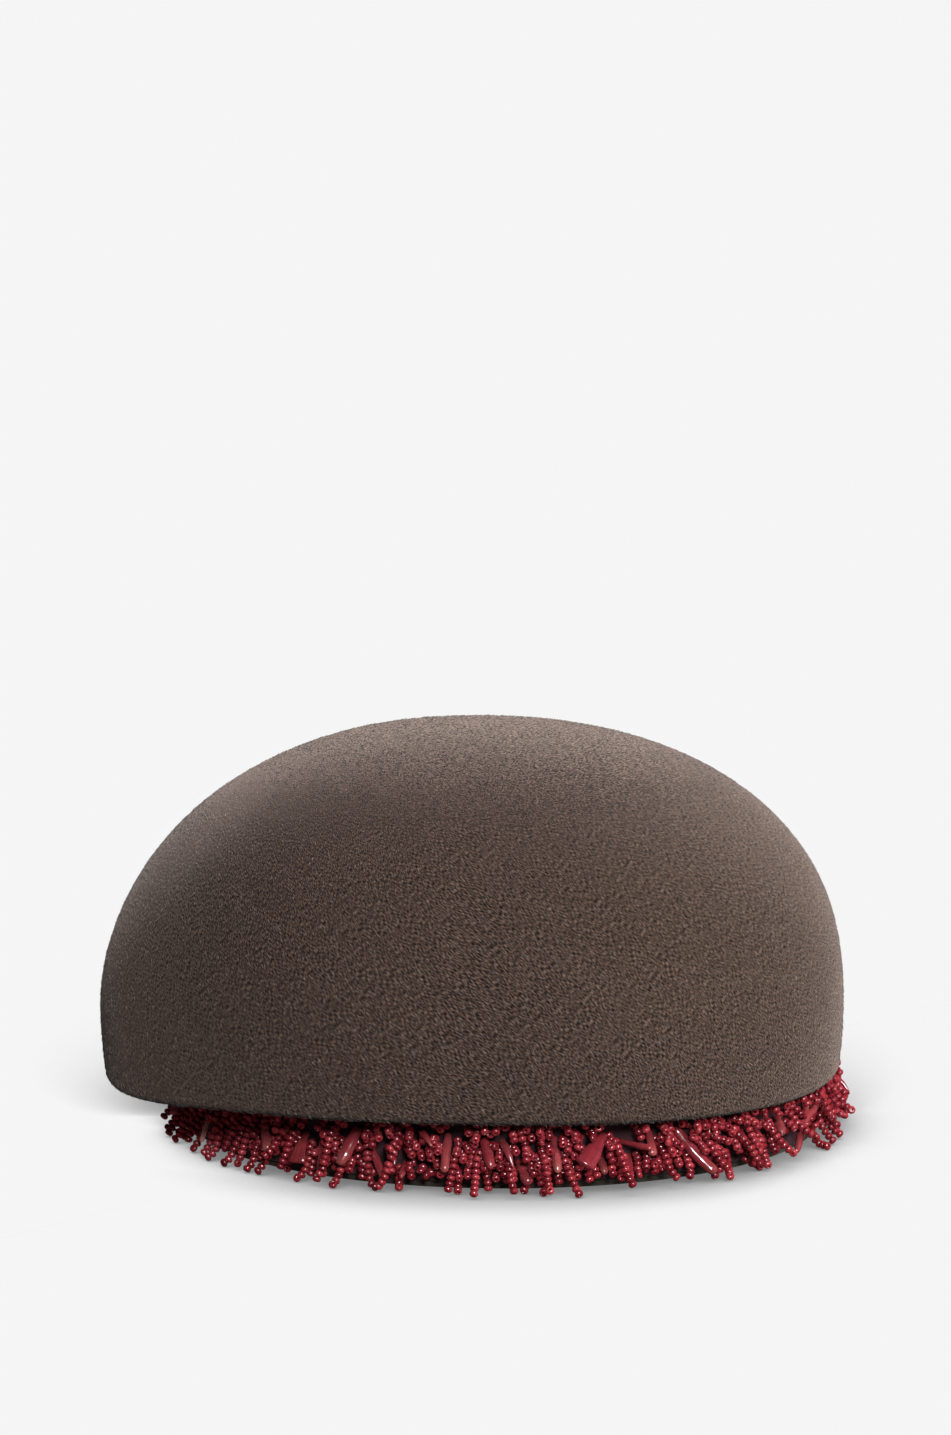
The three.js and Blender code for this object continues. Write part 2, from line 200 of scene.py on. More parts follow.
@dataclass(frozen=True)
class FurFelt(Finish):
    """Fur felt, shrunk on a block and then brushed so that its short nap lies one way.

    The eye sees fine light and dark hairs over a matt ground, soft clouds where the nap lies differently,
    and a pale sheen where the surface turns away. Real hairs are too fine to show, so they are drawn about
    ten times as wide.

    Attributes:
        body: the colour between the hairs, of the ground and of the hairs.
        tips: the sheen's tint in the same places.
        painted_fold_shade: the colour of the painted shade where the felt turns under at its folded edge.
        tones: the brightness of the noise at which those three colours stand.
        sheen, sheen_roughness: how much light the nap sends back, and how widely.
        hair_width, hair_length: a hair's size.
        slant: how far the nap leans off the way down, in radians.
        cloud, cloud_depth: the size of the clouds and how strong they are.
        relief: how far the hairs stand up.
    """

    name: str = "fur_felt"
    body: tuple[str, str, str] = ("#090605", "#1d1512", "#43352d")
    tips: tuple[str, str, str] = ("#8a7c75", "#d5c0b5", "#ffe7dd")
    # painted shade: the colour that the felt darkens to where it turns under at its folded edge
    painted_fold_shade: str = "#060404"
    tones: Triple = (0.34, 0.5, 0.68)
    sheen: float = 0.172
    sheen_roughness: float = 0.47
    hair_width: float = 0.22
    hair_length: float = 1.1
    slant: float = 0.75
    cloud: float = 9.0
    cloud_depth: float = 0.06
    relief: float = 0.3

    def hairs(self, tree: NodeTree, vector: NodeSocket, unit_mm: float) -> NodeSocket:
        """Noise drawn out along the nap: a hair's width one way and its length the other.

        Args:
            tree: the node tree.
            vector: coordinates on the felt.
            unit_mm: how many millimetres one unit of those coordinates is.

        Returns:
            The noise's socket.
        """
        turned = add_node(tree, "Mapping", {"Vector": vector, "Rotation": (0, 0, self.slant)})
        scale = (unit_mm / self.hair_width, unit_mm / self.hair_length, unit_mm / self.hair_width)
        drawn = add_node(tree, "Mapping", {"Vector": turned.outputs[0], "Scale": scale})
        noise = add_node(tree, "TexNoise", {"Vector": drawn.outputs[0], "Scale": 1.0, "Detail": 0.0})
        return noise.outputs["Fac"]

    def coloured(self, tree: NodeTree, tone: NodeSocket, fold: NodeSocket,
                 colours: tuple[str, str, str]) -> NodeSocket:
        """Colours the hairs, and darkens them with painted shade where the felt turns under at its folded
        edge.

        Args:
            tree: the node tree.
            tone: the hairs' brightness.
            fold: how far the felt has turned under, from 0 to 1.
            colours: what stands at the three tones.

        Returns:
            The colour's socket.
        """
        ramp = add_node(tree, "ValToRGB", {"Fac": tone}, stops=dict(zip(self.tones, colours)))
        # painted shade: the fold darkens both the colour and the sheen's tint towards the shade colour
        mix = add_node(tree, "Mix",
                       {"Factor": fold, 6: ramp.outputs[0], 7: linear(self.painted_fold_shade)}, data_type="RGBA")
        return mix.outputs[2]

    def shader(self, tree: NodeTree) -> Node:
        """Mixes hairs round the side with hairs over the top, and lays clouds under both.

        Args:
            tree: the node tree.

        Returns:
            The shader's node.
        """
        place = add_node(tree, "TexCoord").outputs["Object"]
        nap, top, fold = (add_node(tree, "Attribute", attribute_name=name).outputs
                          for name in ("nap_mm", "top", "fold"))
        on_side, on_top = self.hairs(tree, nap["Vector"], 1.0), self.hairs(tree, place, 1 / MM)
        hairs = add_node(tree, "Mix", {0: top["Fac"], 2: on_side, 3: on_top}).outputs[0]
        tone = self.clouded(tree, hairs, self.cloud, self.cloud_depth, Detail=4.0, Roughness=0.6)
        colour, tint = (self.coloured(tree, tone, fold["Fac"], colours) for colours in (self.body, self.tips))
        bump = add_node(tree, "Bump", {"Strength": 0.7, "Distance": self.relief * MM, "Height": hairs})
        return add_node(tree, "BsdfPrincipled", {
            "Base Color": colour, "Roughness": 0.95, "Specular IOR Level": 0.1,
            "Sheen Weight": self.sheen, "Sheen Roughness": self.sheen_roughness,
            "Sheen Tint": tint, "Normal": bump.outputs[0]})


@dataclass(frozen=True)
class LooseHair(Finish):
    """Single fur hairs that brushing pulled out of the felt.

    The eye sees a soft outline, and a few hairs over the face that are bleached or nearly black.

    Attributes:
        dark, ground, light: the colours of the darkest, of most and of the palest hairs.
        sheen: how much light they send back at a grazing angle.
    """

    name: str = "loose_felt_hair"
    dark: str = "#0e0a08"
    ground: str = "#2d231f"
    light: str = "#6b5c52"
    sheen: float = 0.12

    def shader(self, tree: NodeTree) -> Node:
        """Takes each hair's tone from an attribute of the mesh.

        Args:
            tree: the node tree.

        Returns:
            The shader's node.
        """
        tone = add_node(tree, "Attribute", attribute_name="tone").outputs["Fac"]
        colour = add_node(tree, "ValToRGB", {"Fac": tone},
                          stops={0.0: self.dark, 0.55: self.ground, 1.0: self.light})
        return add_node(tree, "BsdfPrincipled", {
            "Base Color": colour.outputs[0], "Roughness": 0.8, "Specular IOR Level": 0.25,
            "Sheen Weight": self.sheen, "Sheen Roughness": 0.5})


@dataclass(frozen=True)
class BandFelt(Finish):
    """Thin wool felt, dyed dark, cut and left unbrushed.

    The eye sees a dull dark strip with short hairs lying every way and no sheen.

    Attributes:
        dark, light: the colours between the hairs and of them.
        hair: how far apart the hairs are, more than real ones so that they show.
        relief: how far they stand up.
    """

    name: str
    dark: str
    light: str
    hair: float
    relief: float = 0.12

    def shader(self, tree: NodeTree) -> Node:
        """Draws one fine noise as colour and as relief.

        Args:
            tree: the node tree.

        Returns:
            The shader's node.
        """
        place = add_node(tree, "TexCoord").outputs["Object"]
        hairs = add_node(tree, "TexNoise", {
            "Vector": place, "Scale": 1 / (self.hair * MM), "Detail": 4.0, "Roughness": 0.65}).outputs["Fac"]
        colour = add_node(tree, "ValToRGB", {"Fac": hairs}, stops={0.35: self.dark, 0.7: self.light})
        bump = add_node(tree, "Bump", {"Strength": 0.6, "Distance": self.relief * MM, "Height": hairs})
        return add_node(tree, "BsdfPrincipled", {
            "Base Color": colour.outputs[0], "Roughness": 0.9, "Specular IOR Level": 0.2,
            "Sheen Weight": 0.05, "Sheen Roughness": 0.5, "Normal": bump.outputs[0]})


BROWN_BAND_FELT = BandFelt("band_felt", "#0e0b09", "#262019", hair=0.5)
WINE_TAPE_FELT = BandFelt("wine_tape_felt", "#0e0407", "#2a0d14", hair=0.4)


@dataclass(frozen=True)
class SeedBeadGlass(Finish):
    """Opaque coloured glass, drawn as a tube, cut into beads and rounded in the fire.

    The eye sees a deep red that changes a little from bead to bead, with one small hard highlight on each.

    Attributes:
        deep, body, pale: the colours of the darkest, of most and of the palest beads.
        cloud, cloud_depth: the size of the clouds in the glass and how strong they are.
        roughness: how far the fire left the surface from a mirror.
        ior: the glass's index of refraction.
    """

    name: str = "seed_bead_glass"
    deep: str = "#400a10"
    body: str = "#59141a"
    pale: str = "#702227"
    cloud: float = 0.9
    cloud_depth: float = 0.3
    roughness: float = 0.12
    ior: float = 1.66

    def shader(self, tree: NodeTree) -> Node:
        """Takes each bead's tone from an attribute, with a faint clouding in the glass.

        Args:
            tree: the node tree.

        Returns:
            The shader's node.
        """
        tone = add_node(tree, "Attribute", attribute_name="tone").outputs["Fac"]
        clouded = self.clouded(tree, tone, self.cloud, self.cloud_depth, Detail=2.0)
        colour = add_node(tree, "ValToRGB", {"Fac": clouded},
                          stops={0.0: self.deep, 0.5: self.body, 1.0: self.pale})
        return add_node(tree, "BsdfPrincipled", {
            "Base Color": colour.outputs[0], "Roughness": self.roughness, "IOR": self.ior})


@dataclass(frozen=True)
class PolishedCoral(Finish):
    """Red coral, tumbled and polished.

    The eye sees a dense waxy red with faint lines along its growth, a wet gloss, and paler worn pieces.

    Attributes:
        deep, body, pale: the colours of the darkest growth lines, of most coral and of the palest lines.
        bleached: the colour of worn coral.
        line, line_length, line_relief: how far apart the lines are, how long they run and how they stand up.
        mottle, mottle_depth: the size of the mottling and how strong it is.
        roughness: how far the polish is from a mirror.
        ior: coral's index of refraction.
    """

    name: str = "polished_coral"
    deep: str = "#431015"
    body: str = "#51161c"
    pale: str = "#612025"
    bleached: str = "#8a5f54"
    line: float = 0.45
    line_length: float = 7.0
    line_relief: float = 0.06
    mottle: float = 5.0
    mottle_depth: float = 0.8
    roughness: float = 0.15
    ior: float = 1.6

    def shader(self, tree: NodeTree) -> Node:
        """Draws noise out along each stick for its growth lines, and mottles it at a few millimetres.

        Args:
            tree: the node tree.

        Returns:
            The shader's node.
        """
        grain, worn = (add_node(tree, "Attribute", attribute_name=name).outputs
                       for name in ("grain_mm", "worn"))
        scale = (1 / self.line, 1 / self.line_length, 1.0)
        drawn = add_node(tree, "Mapping", {"Vector": grain["Vector"], "Scale": scale})
        lines = add_node(tree, "TexNoise", {
            "Vector": drawn.outputs[0], "Scale": 1.0, "Detail": 3.0, "Roughness": 0.55}).outputs["Fac"]
        mottled = self.clouded(tree, lines, self.mottle, self.mottle_depth, Detail=2.0)
        red = add_node(tree, "ValToRGB", {"Fac": mottled},
                       stops={0.2: self.deep, 0.5: self.body, 0.8: self.pale})
        colour = add_node(tree, "Mix",
                          {"Factor": worn["Fac"], 6: red.outputs[0], 7: linear(self.bleached)},
                          data_type="RGBA")
        bump = add_node(tree, "Bump", {"Strength": 0.1, "Distance": self.line_relief * MM, "Height": lines})
        return add_node(tree, "BsdfPrincipled", {
            "Base Color": colour.outputs[2], "Roughness": self.roughness, "IOR": self.ior,
            "Normal": bump.outputs[0]})


@dataclass(frozen=True)
class StudioFloor(Finish):
    """A pale table top that glows evenly, as opal acrylic lit from below does, with a painted shadow under
    the hat.

    The eye sees an even near-white that darkens only close under what stands on it: a painted shadow.

    Attributes:
        pale, half_shade, shade: the colours of the open table, of a shadow's edge and deep under the hat.
        openness: how open the table is to light, by ambient occlusion, where those three colours stand, the
            darkest first.
        reach: how far the painted shadow reaches from a thing at middle.
        growth: how much further for each millimetre in front of middle, behind it and to its right.
        middle: that place, along X and Y.
        tilt: the way the occlusion is looked for, towards where most of the light would come from.
    """

    name: str = "glowing_table_painted_shadow"
    pale: str = "#f5f5f5"
    half_shade: str = "#cacaca"
    shade: str = "#747474"
    openness: Triple = (0.1, 0.65, 0.97)
    reach: float = 10.0
    growth: Triple = (0.2, 0.52, 0.2)
    middle: Pair = (70.0, -10.0)
    tilt: Triple = (0.0, 0.5, 0.85)

    def shader(self, tree: NodeTree) -> Node:
        """Lets the table glow, with a painted shadow found by ambient occlusion where nearby things hide it.

        The painted shadow reaches further out in front of things than at their ends, as light from above
        and behind would cast it. Its reach is the largest of three straight slopes over the table.

        Args:
            tree: the node tree.

        Returns:
            The shader's node.
        """
        place = add_node(tree, "TexCoord").outputs["Object"]
        axes = add_node(tree, "SeparateXYZ", {0: place}).outputs
        in_front, behind, at_right = self.growth
        slopes = []
        for axis, slope in ((1, -in_front), (1, behind), (0, at_right)):
            at_origin = (self.reach - slope * self.middle[axis]) * MM
            line = {0: axes[axis], 1: slope, 2: at_origin}
            slopes.append(add_node(tree, "Math", line, operation="MULTIPLY_ADD").outputs[0])
        further = add_node(tree, "Math", {0: slopes[0], 1: slopes[1]}, operation="MAXIMUM")
        distance = add_node(tree, "Math", {0: further.outputs[0], 1: slopes[2]}, operation="MAXIMUM")
        tilted = tuple(unit(np.array(self.tilt)))
        # painted shadow: ambient occlusion round each point of the table darkens its glow
        nearby = add_node(tree, "AmbientOcclusion",
                          {"Distance": distance.outputs[0], "Normal": tilted}, samples=12)
        shades = zip(self.openness, (self.shade, self.half_shade, self.pale))
        colour = add_node(tree, "ValToRGB", {"Fac": nearby.outputs["AO"]}, stops=dict(shades))
        return add_node(tree, "Emission", {"Color": colour.outputs[0], "Strength": 1.0})


@dataclass(frozen=True)
class HatLines:
    """The curves that every piece follows, in millimetres about the crown's middle.

    The crown is a superellipse in plan and in height, whose exponents differ from the left end to the right.
    An exponent of 2 is a plain ellipse, and a higher one is squarer. The band is an ellipse.

    Attributes:
        half_length, half_width, top_z: the crown's size.
        band_x: how far the band's middle stands off the crown's along X.
        band_half_length, band_half_width, band_height: the band's size.
        shift: from the crown's middle to the frame's origin.
        widest_z: the level where the crown is widest.
        plan, shoulder: the exponents of the plan and of the rise, at the left and right ends.
        lean: how far the top stands off the middle along X.
        taper: how far the side draws in below the widest level.
        wall, fold: the felt's thickness, and the outer radius of its folded edge.
        rim_ends: the level of that edge at the left and right ends.
        rim_peak, rim_peak_x: its highest level, and where that is.
    """

    half_length: float
    half_width: float
    top_z: float
    band_x: float
    band_half_length: float
    band_half_width: float
    band_height: float
    shift: Triple
    widest_z: float = 37.8
    plan: Pair = (2.4, 2.1)
    shoulder: Pair = (1.97, 2.38)
    lean: float = -3.0
    taper: float = 1.1
    wall: float = 2.5
    fold: float = 3.0
    rim_ends: Pair = (16.3, 17.2)
    rim_peak: float = 22.2
    rim_peak_x: float = -57.0

    @classmethod
    def of_frame(cls) -> "HatLines":
        """Takes the main sizes from the crown's and the band's boxes in the frame.

        Returns:
            The hat's curves.
        """
        (low, high), (band_low, band_high) = (
            [np.array(corner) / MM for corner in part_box(node)] for node in ("crown", "band"))
        middle, half = (low + high) / 2, (high - low) / 2
        band_middle, band_half = (band_low + band_high) / 2, (band_high - band_low) / 2
        return cls(half_length=half[0], half_width=half[1], top_z=high[2], band_x=band_middle[0] - middle[0],
                   band_half_length=band_half[0], band_half_width=band_half[1], band_height=band_high[2],
                   shift=(middle[0], middle[1], 0.0))

    def to_frame(self, points: Array) -> Array:
        """Moves points from the crown's middle to the frame, in metres."""
        return (points + np.array(self.shift)) * MM

    def along_head(self, ends: Pair, angle: Array) -> Array:
        """Goes from the left end's value to the right end's as the cosine of the angle does."""
        left, right = ends
        return (left + right) / 2 + (right - left) / 2 * np.cos(angle)

    def plan_point(self, angle: Array, inset: Array, z: Array) -> Array:
        """Points of the crown's outline in plan: half sizes times signed powers of the cosine and the sine.

        Args:
            angle: the angle round the crown.
            inset: how far the outline is drawn in.
            z: the points' height.

        Returns:
            An array of points.
        """
        exponent = 2 / self.along_head(self.plan, angle)
        x = (self.half_length - inset) * signed_power(np.cos(angle), exponent)
        y = (self.half_width - inset) * signed_power(np.sin(angle), exponent)
        return np.stack(np.broadcast_arrays(x, y, z), axis=-1)

    def rim_at(self, x: Array) -> Array:
        """The level of the folded edge: a parabola along X on each side of its highest point.

        Args:
            x: places along the head.

        Returns:
            The edge's height there.
        """
        offset = np.clip(x, -self.half_length, self.half_length) - self.rim_peak_x
        span = np.where(offset < 0, self.half_length + self.rim_peak_x, self.half_length - self.rim_peak_x)
        end = np.where(offset < 0, *self.rim_ends)
        return self.rim_peak + (end - self.rim_peak) * (offset / span) ** 2

    def rim(self, angle: Array) -> Array:
        """The level of the folded edge at an angle round the crown."""
        return self.rim_at(self.plan_point(angle, 0.0, 0.0)[..., 0])

    def dome(self, angle: Array, climb: Array, inset: float) -> Array:
        """Points of the dome: the plan times a power of the cosine of climb, raised by a power of its sine.

        Args:
            angle: the angle round the crown.
            climb: the angle up the dome, from 0 at the widest level to a quarter turn at the top.
            inset: how far inside the outer face the points lie.

        Returns:
            An array of points.
        """
        exponent = 2 / self.along_head(self.shoulder, angle)
        spread = np.maximum(np.cos(climb), 0) ** exponent
        points = self.plan_point(angle, inset, 0.0) * spread[..., None]
        points[..., 0] += self.lean * np.sin(climb) ** 2
        points[..., 2] = self.widest_z + (self.top_z - self.widest_z - inset) * np.sin(climb) ** exponent
        return points

    def side(self, angle: Array, fall: Array, inset: float, end_z: Array) -> Array:
        """Points of the side: fall is 0 at the widest level and 1 at end_z, and its square draws them in."""
        z = self.widest_z + (end_z - self.widest_z) * fall
        return self.plan_point(angle, inset + self.taper * fall ** 2, z)

    def edge(self, angle: Array, bend: Array) -> Array:
        """Points of the folded edge, a quarter circle from the side to the underside as bend grows."""
        inset = self.taper + self.fold * (1 - np.cos(bend))
        return self.plan_point(angle, inset, self.rim(angle) + self.fold * (1 - np.sin(bend)))

    def band_point(self, angle: Array, out: Array, z: Array) -> Array:
        """Points of the band's ellipse, grown by a distance off its outer face.

        Args:
            angle: the angle round the band.
            out: how far they stand off it.
            z: the points' height.

        Returns:
            An array of points.
        """
        x = self.band_x + (self.band_half_length + out) * np.cos(angle)
        y = (self.band_half_width + out) * np.sin(angle)
        return np.stack(np.broadcast_arrays(x, y, z), axis=-1)

    def band_angle(self, points: Array) -> Array:
        """The angle round the band at which points stand, the other way round to band_point."""
        along = (points[..., 0] - self.band_x) / self.band_half_length
        return np.arctan2(points[..., 1] / self.band_half_width, along)

    def band_ways(self, angle: Array) -> tuple[Array, Array]:
        """The level directions straight out of the band and round it.

        Args:
            angle: the angle round the band.

        Returns:
            The ellipse's outward normals, and the same turned by a quarter.
        """
        level = np.zeros_like(angle)
        slopes = [np.cos(angle) / self.band_half_length, np.sin(angle) / self.band_half_width, level]
        outward = unit(np.stack(slopes, axis=-1))
        return outward, np.stack([-outward[..., 1], outward[..., 0], level], axis=-1)


def ring_quads(rows: int, columns: int, closed: bool) -> Array:
    """Faces of a grid whose columns run right round.

    Args:
        rows: how many rows the grid has.
        columns: how many columns.
        closed: whether the last row is joined to the first.

    Returns:
        Four point numbers a face: down a row, on a column, and back up.
    """
    row = np.arange(rows if closed else rows - 1)[:, None]
    column = np.arange(columns)[None, :]
    below, onward = (row + 1) % rows, (column + 1) % columns
    corners = [row * columns + column, below * columns + column,
               below * columns + onward, row * columns + onward]
    return np.stack([np.broadcast_to(c, (row.size, columns)) for c in corners], axis=-1).reshape(-1, 4)


def end_fans(rows: int, columns: int) -> Array:
    """Triangles that close a grid of open rows on two end points, numbered after the grid's own points.

    Args:
        rows: how many rows the grid has.
        columns: how many columns.

    Returns:
        Three point numbers a face.
    """
    column = np.arange(columns)
    onward = (column + 1) % columns
    last = (rows - 1) * columns
    first_pole = np.full(columns, rows * columns)
    first = np.stack([first_pole, column, onward], axis=-1)
    second = np.stack([last + column, first_pole + 1, last + onward], axis=-1)
    return np.concatenate([first, second])


def new_piece(name: str, points: Array, faces: list[Array], finish: Finish,
              nodes: list[str]) -> Object:
    """Makes a smooth mesh piece that rides on the hat and stands for some of its nodes.

    Args:
        name: the piece's name.
        points: places in metres, in the frame.
        faces: arrays of point numbers, each with three or four to a face.
        finish: the finish it wears.
        nodes: the nodes that it stands for.

    Returns:
        The new object.
    """
    mesh = bpy.data.meshes.new(name)
    mesh.vertices.add(len(points))
    mesh.vertices.foreach_set("co", np.ascontiguousarray(points, np.float32).ravel())
    corners = np.concatenate([part.ravel() for part in faces]).astype(np.int32)
    sizes = np.concatenate([np.full(len(part), part.shape[1], np.int32) for part in faces])
    mesh.loops.add(len(corners))
    mesh.loops.foreach_set("vertex_index", corners)
    mesh.polygons.add(len(sizes))
    mesh.polygons.foreach_set("loop_start", np.concatenate([[0], np.cumsum(sizes)[:-1]]).astype(np.int32))
    mesh.polygons.foreach_set("use_smooth", np.ones(len(sizes), bool))
    mesh.update(calc_edges=True)
    mesh.materials.append(finish.material())
    piece = bpy.data.objects.new(name, mesh)
    bpy.context.scene.collection.objects.link(piece)
    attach(piece, BODY)
    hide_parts(*nodes)
    return piece


class Domain(Enum):
    """What a stored value belongs to: a point, or a face's corner."""

    POINT = "POINT"
    CORNER = "CORNER"


def write_values(piece: Object, name: str, values: Array, domain: Domain = Domain.POINT) -> None:
    """Stores numbers or vectors on a piece's points or face corners.

    Args:
        piece: the piece.
        name: the attribute's name.
        values: one number, or one row of three, for each point or corner.
        domain: which of those they belong to.
    """
    kind, field = ("FLOAT_VECTOR", "vector") if values.ndim == 2 else ("FLOAT", "value")
    layer = piece.data.attributes.new(name, kind, domain.value)
    layer.data.foreach_set(field, np.ascontiguousarray(values, np.float32).ravel())


@dataclass(frozen=True)
class Wave:
    """A slow wave in hand-blocked felt.

    Attributes:
        strength: how strong it is beside the others.
        count: how many run round the hat.
        climb: how far it turns for each wave height, in radians.
        start: where it starts, in radians.
    """

    strength: float
    count: int
    climb: float
    start: float = 0.0


SWELL = (Wave(1.0, 3, 1.3), Wave(0.8, 5, -2.1, 1.0), Wave(0.6, 8, 1.7, 2.2), Wave(0.4, 13, 3.0))


@dataclass
class Crown:
    """The blocked dome: outer face, folded edge, felt turned in to the band, inner face and loose hairs.

    Attributes:
        lines: the hat's curves.
        columns: facets round the dome.
        dome_rows, side_rows, fold_rows: rows of facets down the outer face.
        turned_rows, inner_side_rows, inner_rows: those along the underside and up the inner face.
        unevenness, wave_height: how far the outer face swells, and the height over which that changes.
        top_blend: the climb over which the nap stops running round the side and lies straight over the top.
        fold_blend: the share of the fold over which the felt darkens with painted shade.
        hair_count, hair_seed: how many loose hairs there are, and the seed of their places.
        hair_length: the shortest and the longest.
        hair_width: their usual width at the root, wider than real hairs so that they show.
        hair_widths: the least share of that width, and its spread.
        hair_root: how deep they are rooted.
        hair_slant: their usual way off straight down, and its spread, in degrees.
        hair_lift: how far they stand up at the least, and its spread, in degrees.
        hair_tone: their usual tone, and its spread.
    """

    lines: HatLines
    columns: int = 288
    dome_rows: int = 60
    side_rows: int = 8
    fold_rows: int = 8
    turned_rows: int = 5
    inner_side_rows: int = 2
    inner_rows: int = 22
    unevenness: float = 0.15
    wave_height: float = 30.0
    top_blend: Blend = Blend(np.radians(38), np.radians(68))
    fold_blend: Blend = Blend(0.1, 0.75)
    hair_count: int = 48000
    hair_length: Pair = (0.7, 1.8)
    hair_width: float = 0.15
    hair_widths: Pair = (0.6, 0.8)
    hair_root: float = 0.08
    hair_slant: Pair = (42.0, 13.0)
    hair_lift: Pair = (4.0, 15.0)
    hair_tone: Pair = (0.5, 0.24)
    hair_seed: int = 11

    def build(self) -> list[Object]:
        """Makes the shell and its loose hairs."""
        return [self.build_shell(), self.build_hairs()]

    def angles(self) -> Array:
        """A row of angles round the crown, with the last a whole turn after the first."""
        return NAP_SEAM + TURN * np.arange(self.columns + 1)[None, :] / self.columns

    def outer_rows(self) -> tuple[Array, Array]:
        """The outer face as a grid, from near the top down to the underside of the fold.

        Returns:
            The points, and how far each row has climbed towards the top.
        """
        lines, angle = self.lines, self.angles()
        climb = np.linspace(QUARTER, 0, self.dome_rows + 1)[1:, None]
        fall = np.linspace(0, 1, self.side_rows + 1)[1:, None]
        bend = np.linspace(0, QUARTER, self.fold_rows + 1)[1:, None]
        dome = lines.dome(angle, climb, 0.0)
        side = lines.side(angle, fall, 0.0, lines.rim(angle) + lines.fold)
        points = np.concatenate([dome, side, lines.edge(angle, bend)])
        climbs = np.concatenate([climb, 0 * fall, 0 * bend])
        return points + self.swell(angle, climbs, points), climbs

    def swell(self, angle: Array, climb: Array, points: Array) -> Array:
        """The slight unevenness of felt that was blocked by hand: slow waves round and up, none at the top.

        Args:
            angle: the angle round the crown.
            climb: how far each row has climbed.
            points: the even face.

        Returns:
            Level offsets away from the middle.
        """
        height = points[..., 2] / self.wave_height
        waves = sum(wave.strength * np.sin(wave.count * angle + wave.climb * height + wave.start)
                    for wave in SWELL)
        offset = self.unevenness * waves * np.cos(climb)
        return unit(points * np.array([1, 1, 0])) * offset[..., None]

    def inner_face(self) -> Array:
        """The felt turned in to the band, and the inner face up to near the top, as a grid.

        Returns:
            The points, which go on from the outer face's last row.
        """
        lines, angle = self.lines, self.angles()
        rim = lines.rim(angle)
        under = lines.edge(angle, np.full((1, 1), QUARTER))
        turned = lines.band_point(angle, GAP, rim)
        share = np.linspace(0, 1, self.turned_rows + 1)[1:, None, None]
        underside = under + (turned - under) * share
        corners = [lines.band_point(angle, GAP, rim + lines.wall),
                   lines.plan_point(angle, lines.taper + lines.wall, rim + lines.wall)]
        fall = np.linspace(1, 0, self.inner_side_rows + 2)[1:-1, None]
        side = lines.side(angle, fall, lines.wall, rim + lines.wall)
        climb = np.linspace(0, QUARTER, self.inner_rows + 1)[:-1, None]
        return np.concatenate([underside, *corners, side, lines.dome(angle, climb, lines.wall)])

    def build_shell(self) -> Object:
        """Joins the outer and inner grids into one closed shell, and stores how its nap lies.

        Returns:
            The shell's object.
        """
        lines, columns = self.lines, self.columns
        outer, climb = self.outer_rows()
        inner = self.inner_face()
        grid = np.concatenate([outer, inner])
        pole = np.array([lines.lean, 0, lines.top_z])
        points = np.concatenate([grid[:, :-1].reshape(-1, 3), [pole, pole - [0, 0, lines.wall]]])
        quads, fans = ring_quads(len(grid), columns, False), end_fans(len(grid), columns)
        shell = new_piece("felt_crown", lines.to_frame(points), [quads, fans], FurFelt(), ["crown"])
        climbs = np.concatenate([climb[:, 0], np.zeros(len(inner))])
        bend = np.linspace(0, 1, self.fold_rows + 1)[1:]
        even = np.zeros(len(outer) - self.fold_rows)
        # each row's share of painted shade: none on the face, growing round the fold, full underneath and
        # inside
        folds = np.concatenate([even, self.fold_blend.at(bend), np.ones(len(inner))])
        for name, rows, poles in (("top", self.top_blend.at(climbs), [1, 0]), ("fold", folds, [0, 1])):
            write_values(shell, name, np.concatenate([np.repeat(rows, columns), poles]))
        write_values(shell, "nap_mm", self.nap_places(grid, quads, fans), Domain.CORNER)
        return shell

    def nap_places(self, grid: Array, quads: Array, fans: Array) -> Array:
        """Coordinates on the felt, in millimetres: the way round at its middle girth, and the way down.

        Args:
            grid: the shell's points, with the first column repeated as the last.
            quads: the grid's faces.
            fans: the faces at its poles.

        Returns:
            A row of three numbers for each face corner.
        """
        steps = np.linalg.norm(np.diff(grid, axis=0), axis=-1).mean(axis=1)
        down = np.concatenate([[0], np.cumsum(steps)])
        girth = TURN * (self.lines.half_length + self.lines.half_width) / 2
        row, column = np.divmod(quads, self.columns)
        onward = np.array([0, 0, 1, 1])
        around = (column[:, :1] + onward) * girth / self.columns
        places = np.stack([around, down[row], np.zeros_like(around)], axis=-1).reshape(-1, 3)
        return np.concatenate([places, np.zeros((fans.size, 3))])

    def hair_roots(self, draw: Chance) -> tuple[Array, Array, Array, Array]:
        """Places on the outer face, spread evenly by the area of its facets.

        Args:
            draw: the source of chance.

        Returns:
            The places, the ways down and round the face there, and how far each belongs to the top.
        """
        grid, climbs = self.outer_rows()
        first, below, across, beside = grid[:-1, :-1], grid[1:, :-1], grid[1:, 1:], grid[:-1, 1:]
        area = np.linalg.norm(np.cross(across - first, beside - below), axis=-1).ravel()
        facet = np.searchsorted(np.cumsum(area) / area.sum(), draw.rand(self.hair_count))
        first, below, across, beside = (part.reshape(-1, 3)[facet] for part in (first, below, across, beside))
        u, v = draw.rand(2, self.hair_count, 1)
        root = (1 - u) * (1 - v) * first + u * (1 - v) * below + u * v * across + (1 - u) * v * beside
        climb = np.repeat(climbs[:-1, 0], self.columns)[facet][:, None]
        down = unit(below - first + across - beside)
        return root, down, unit(beside - first + across - below), self.top_blend.at(climb)

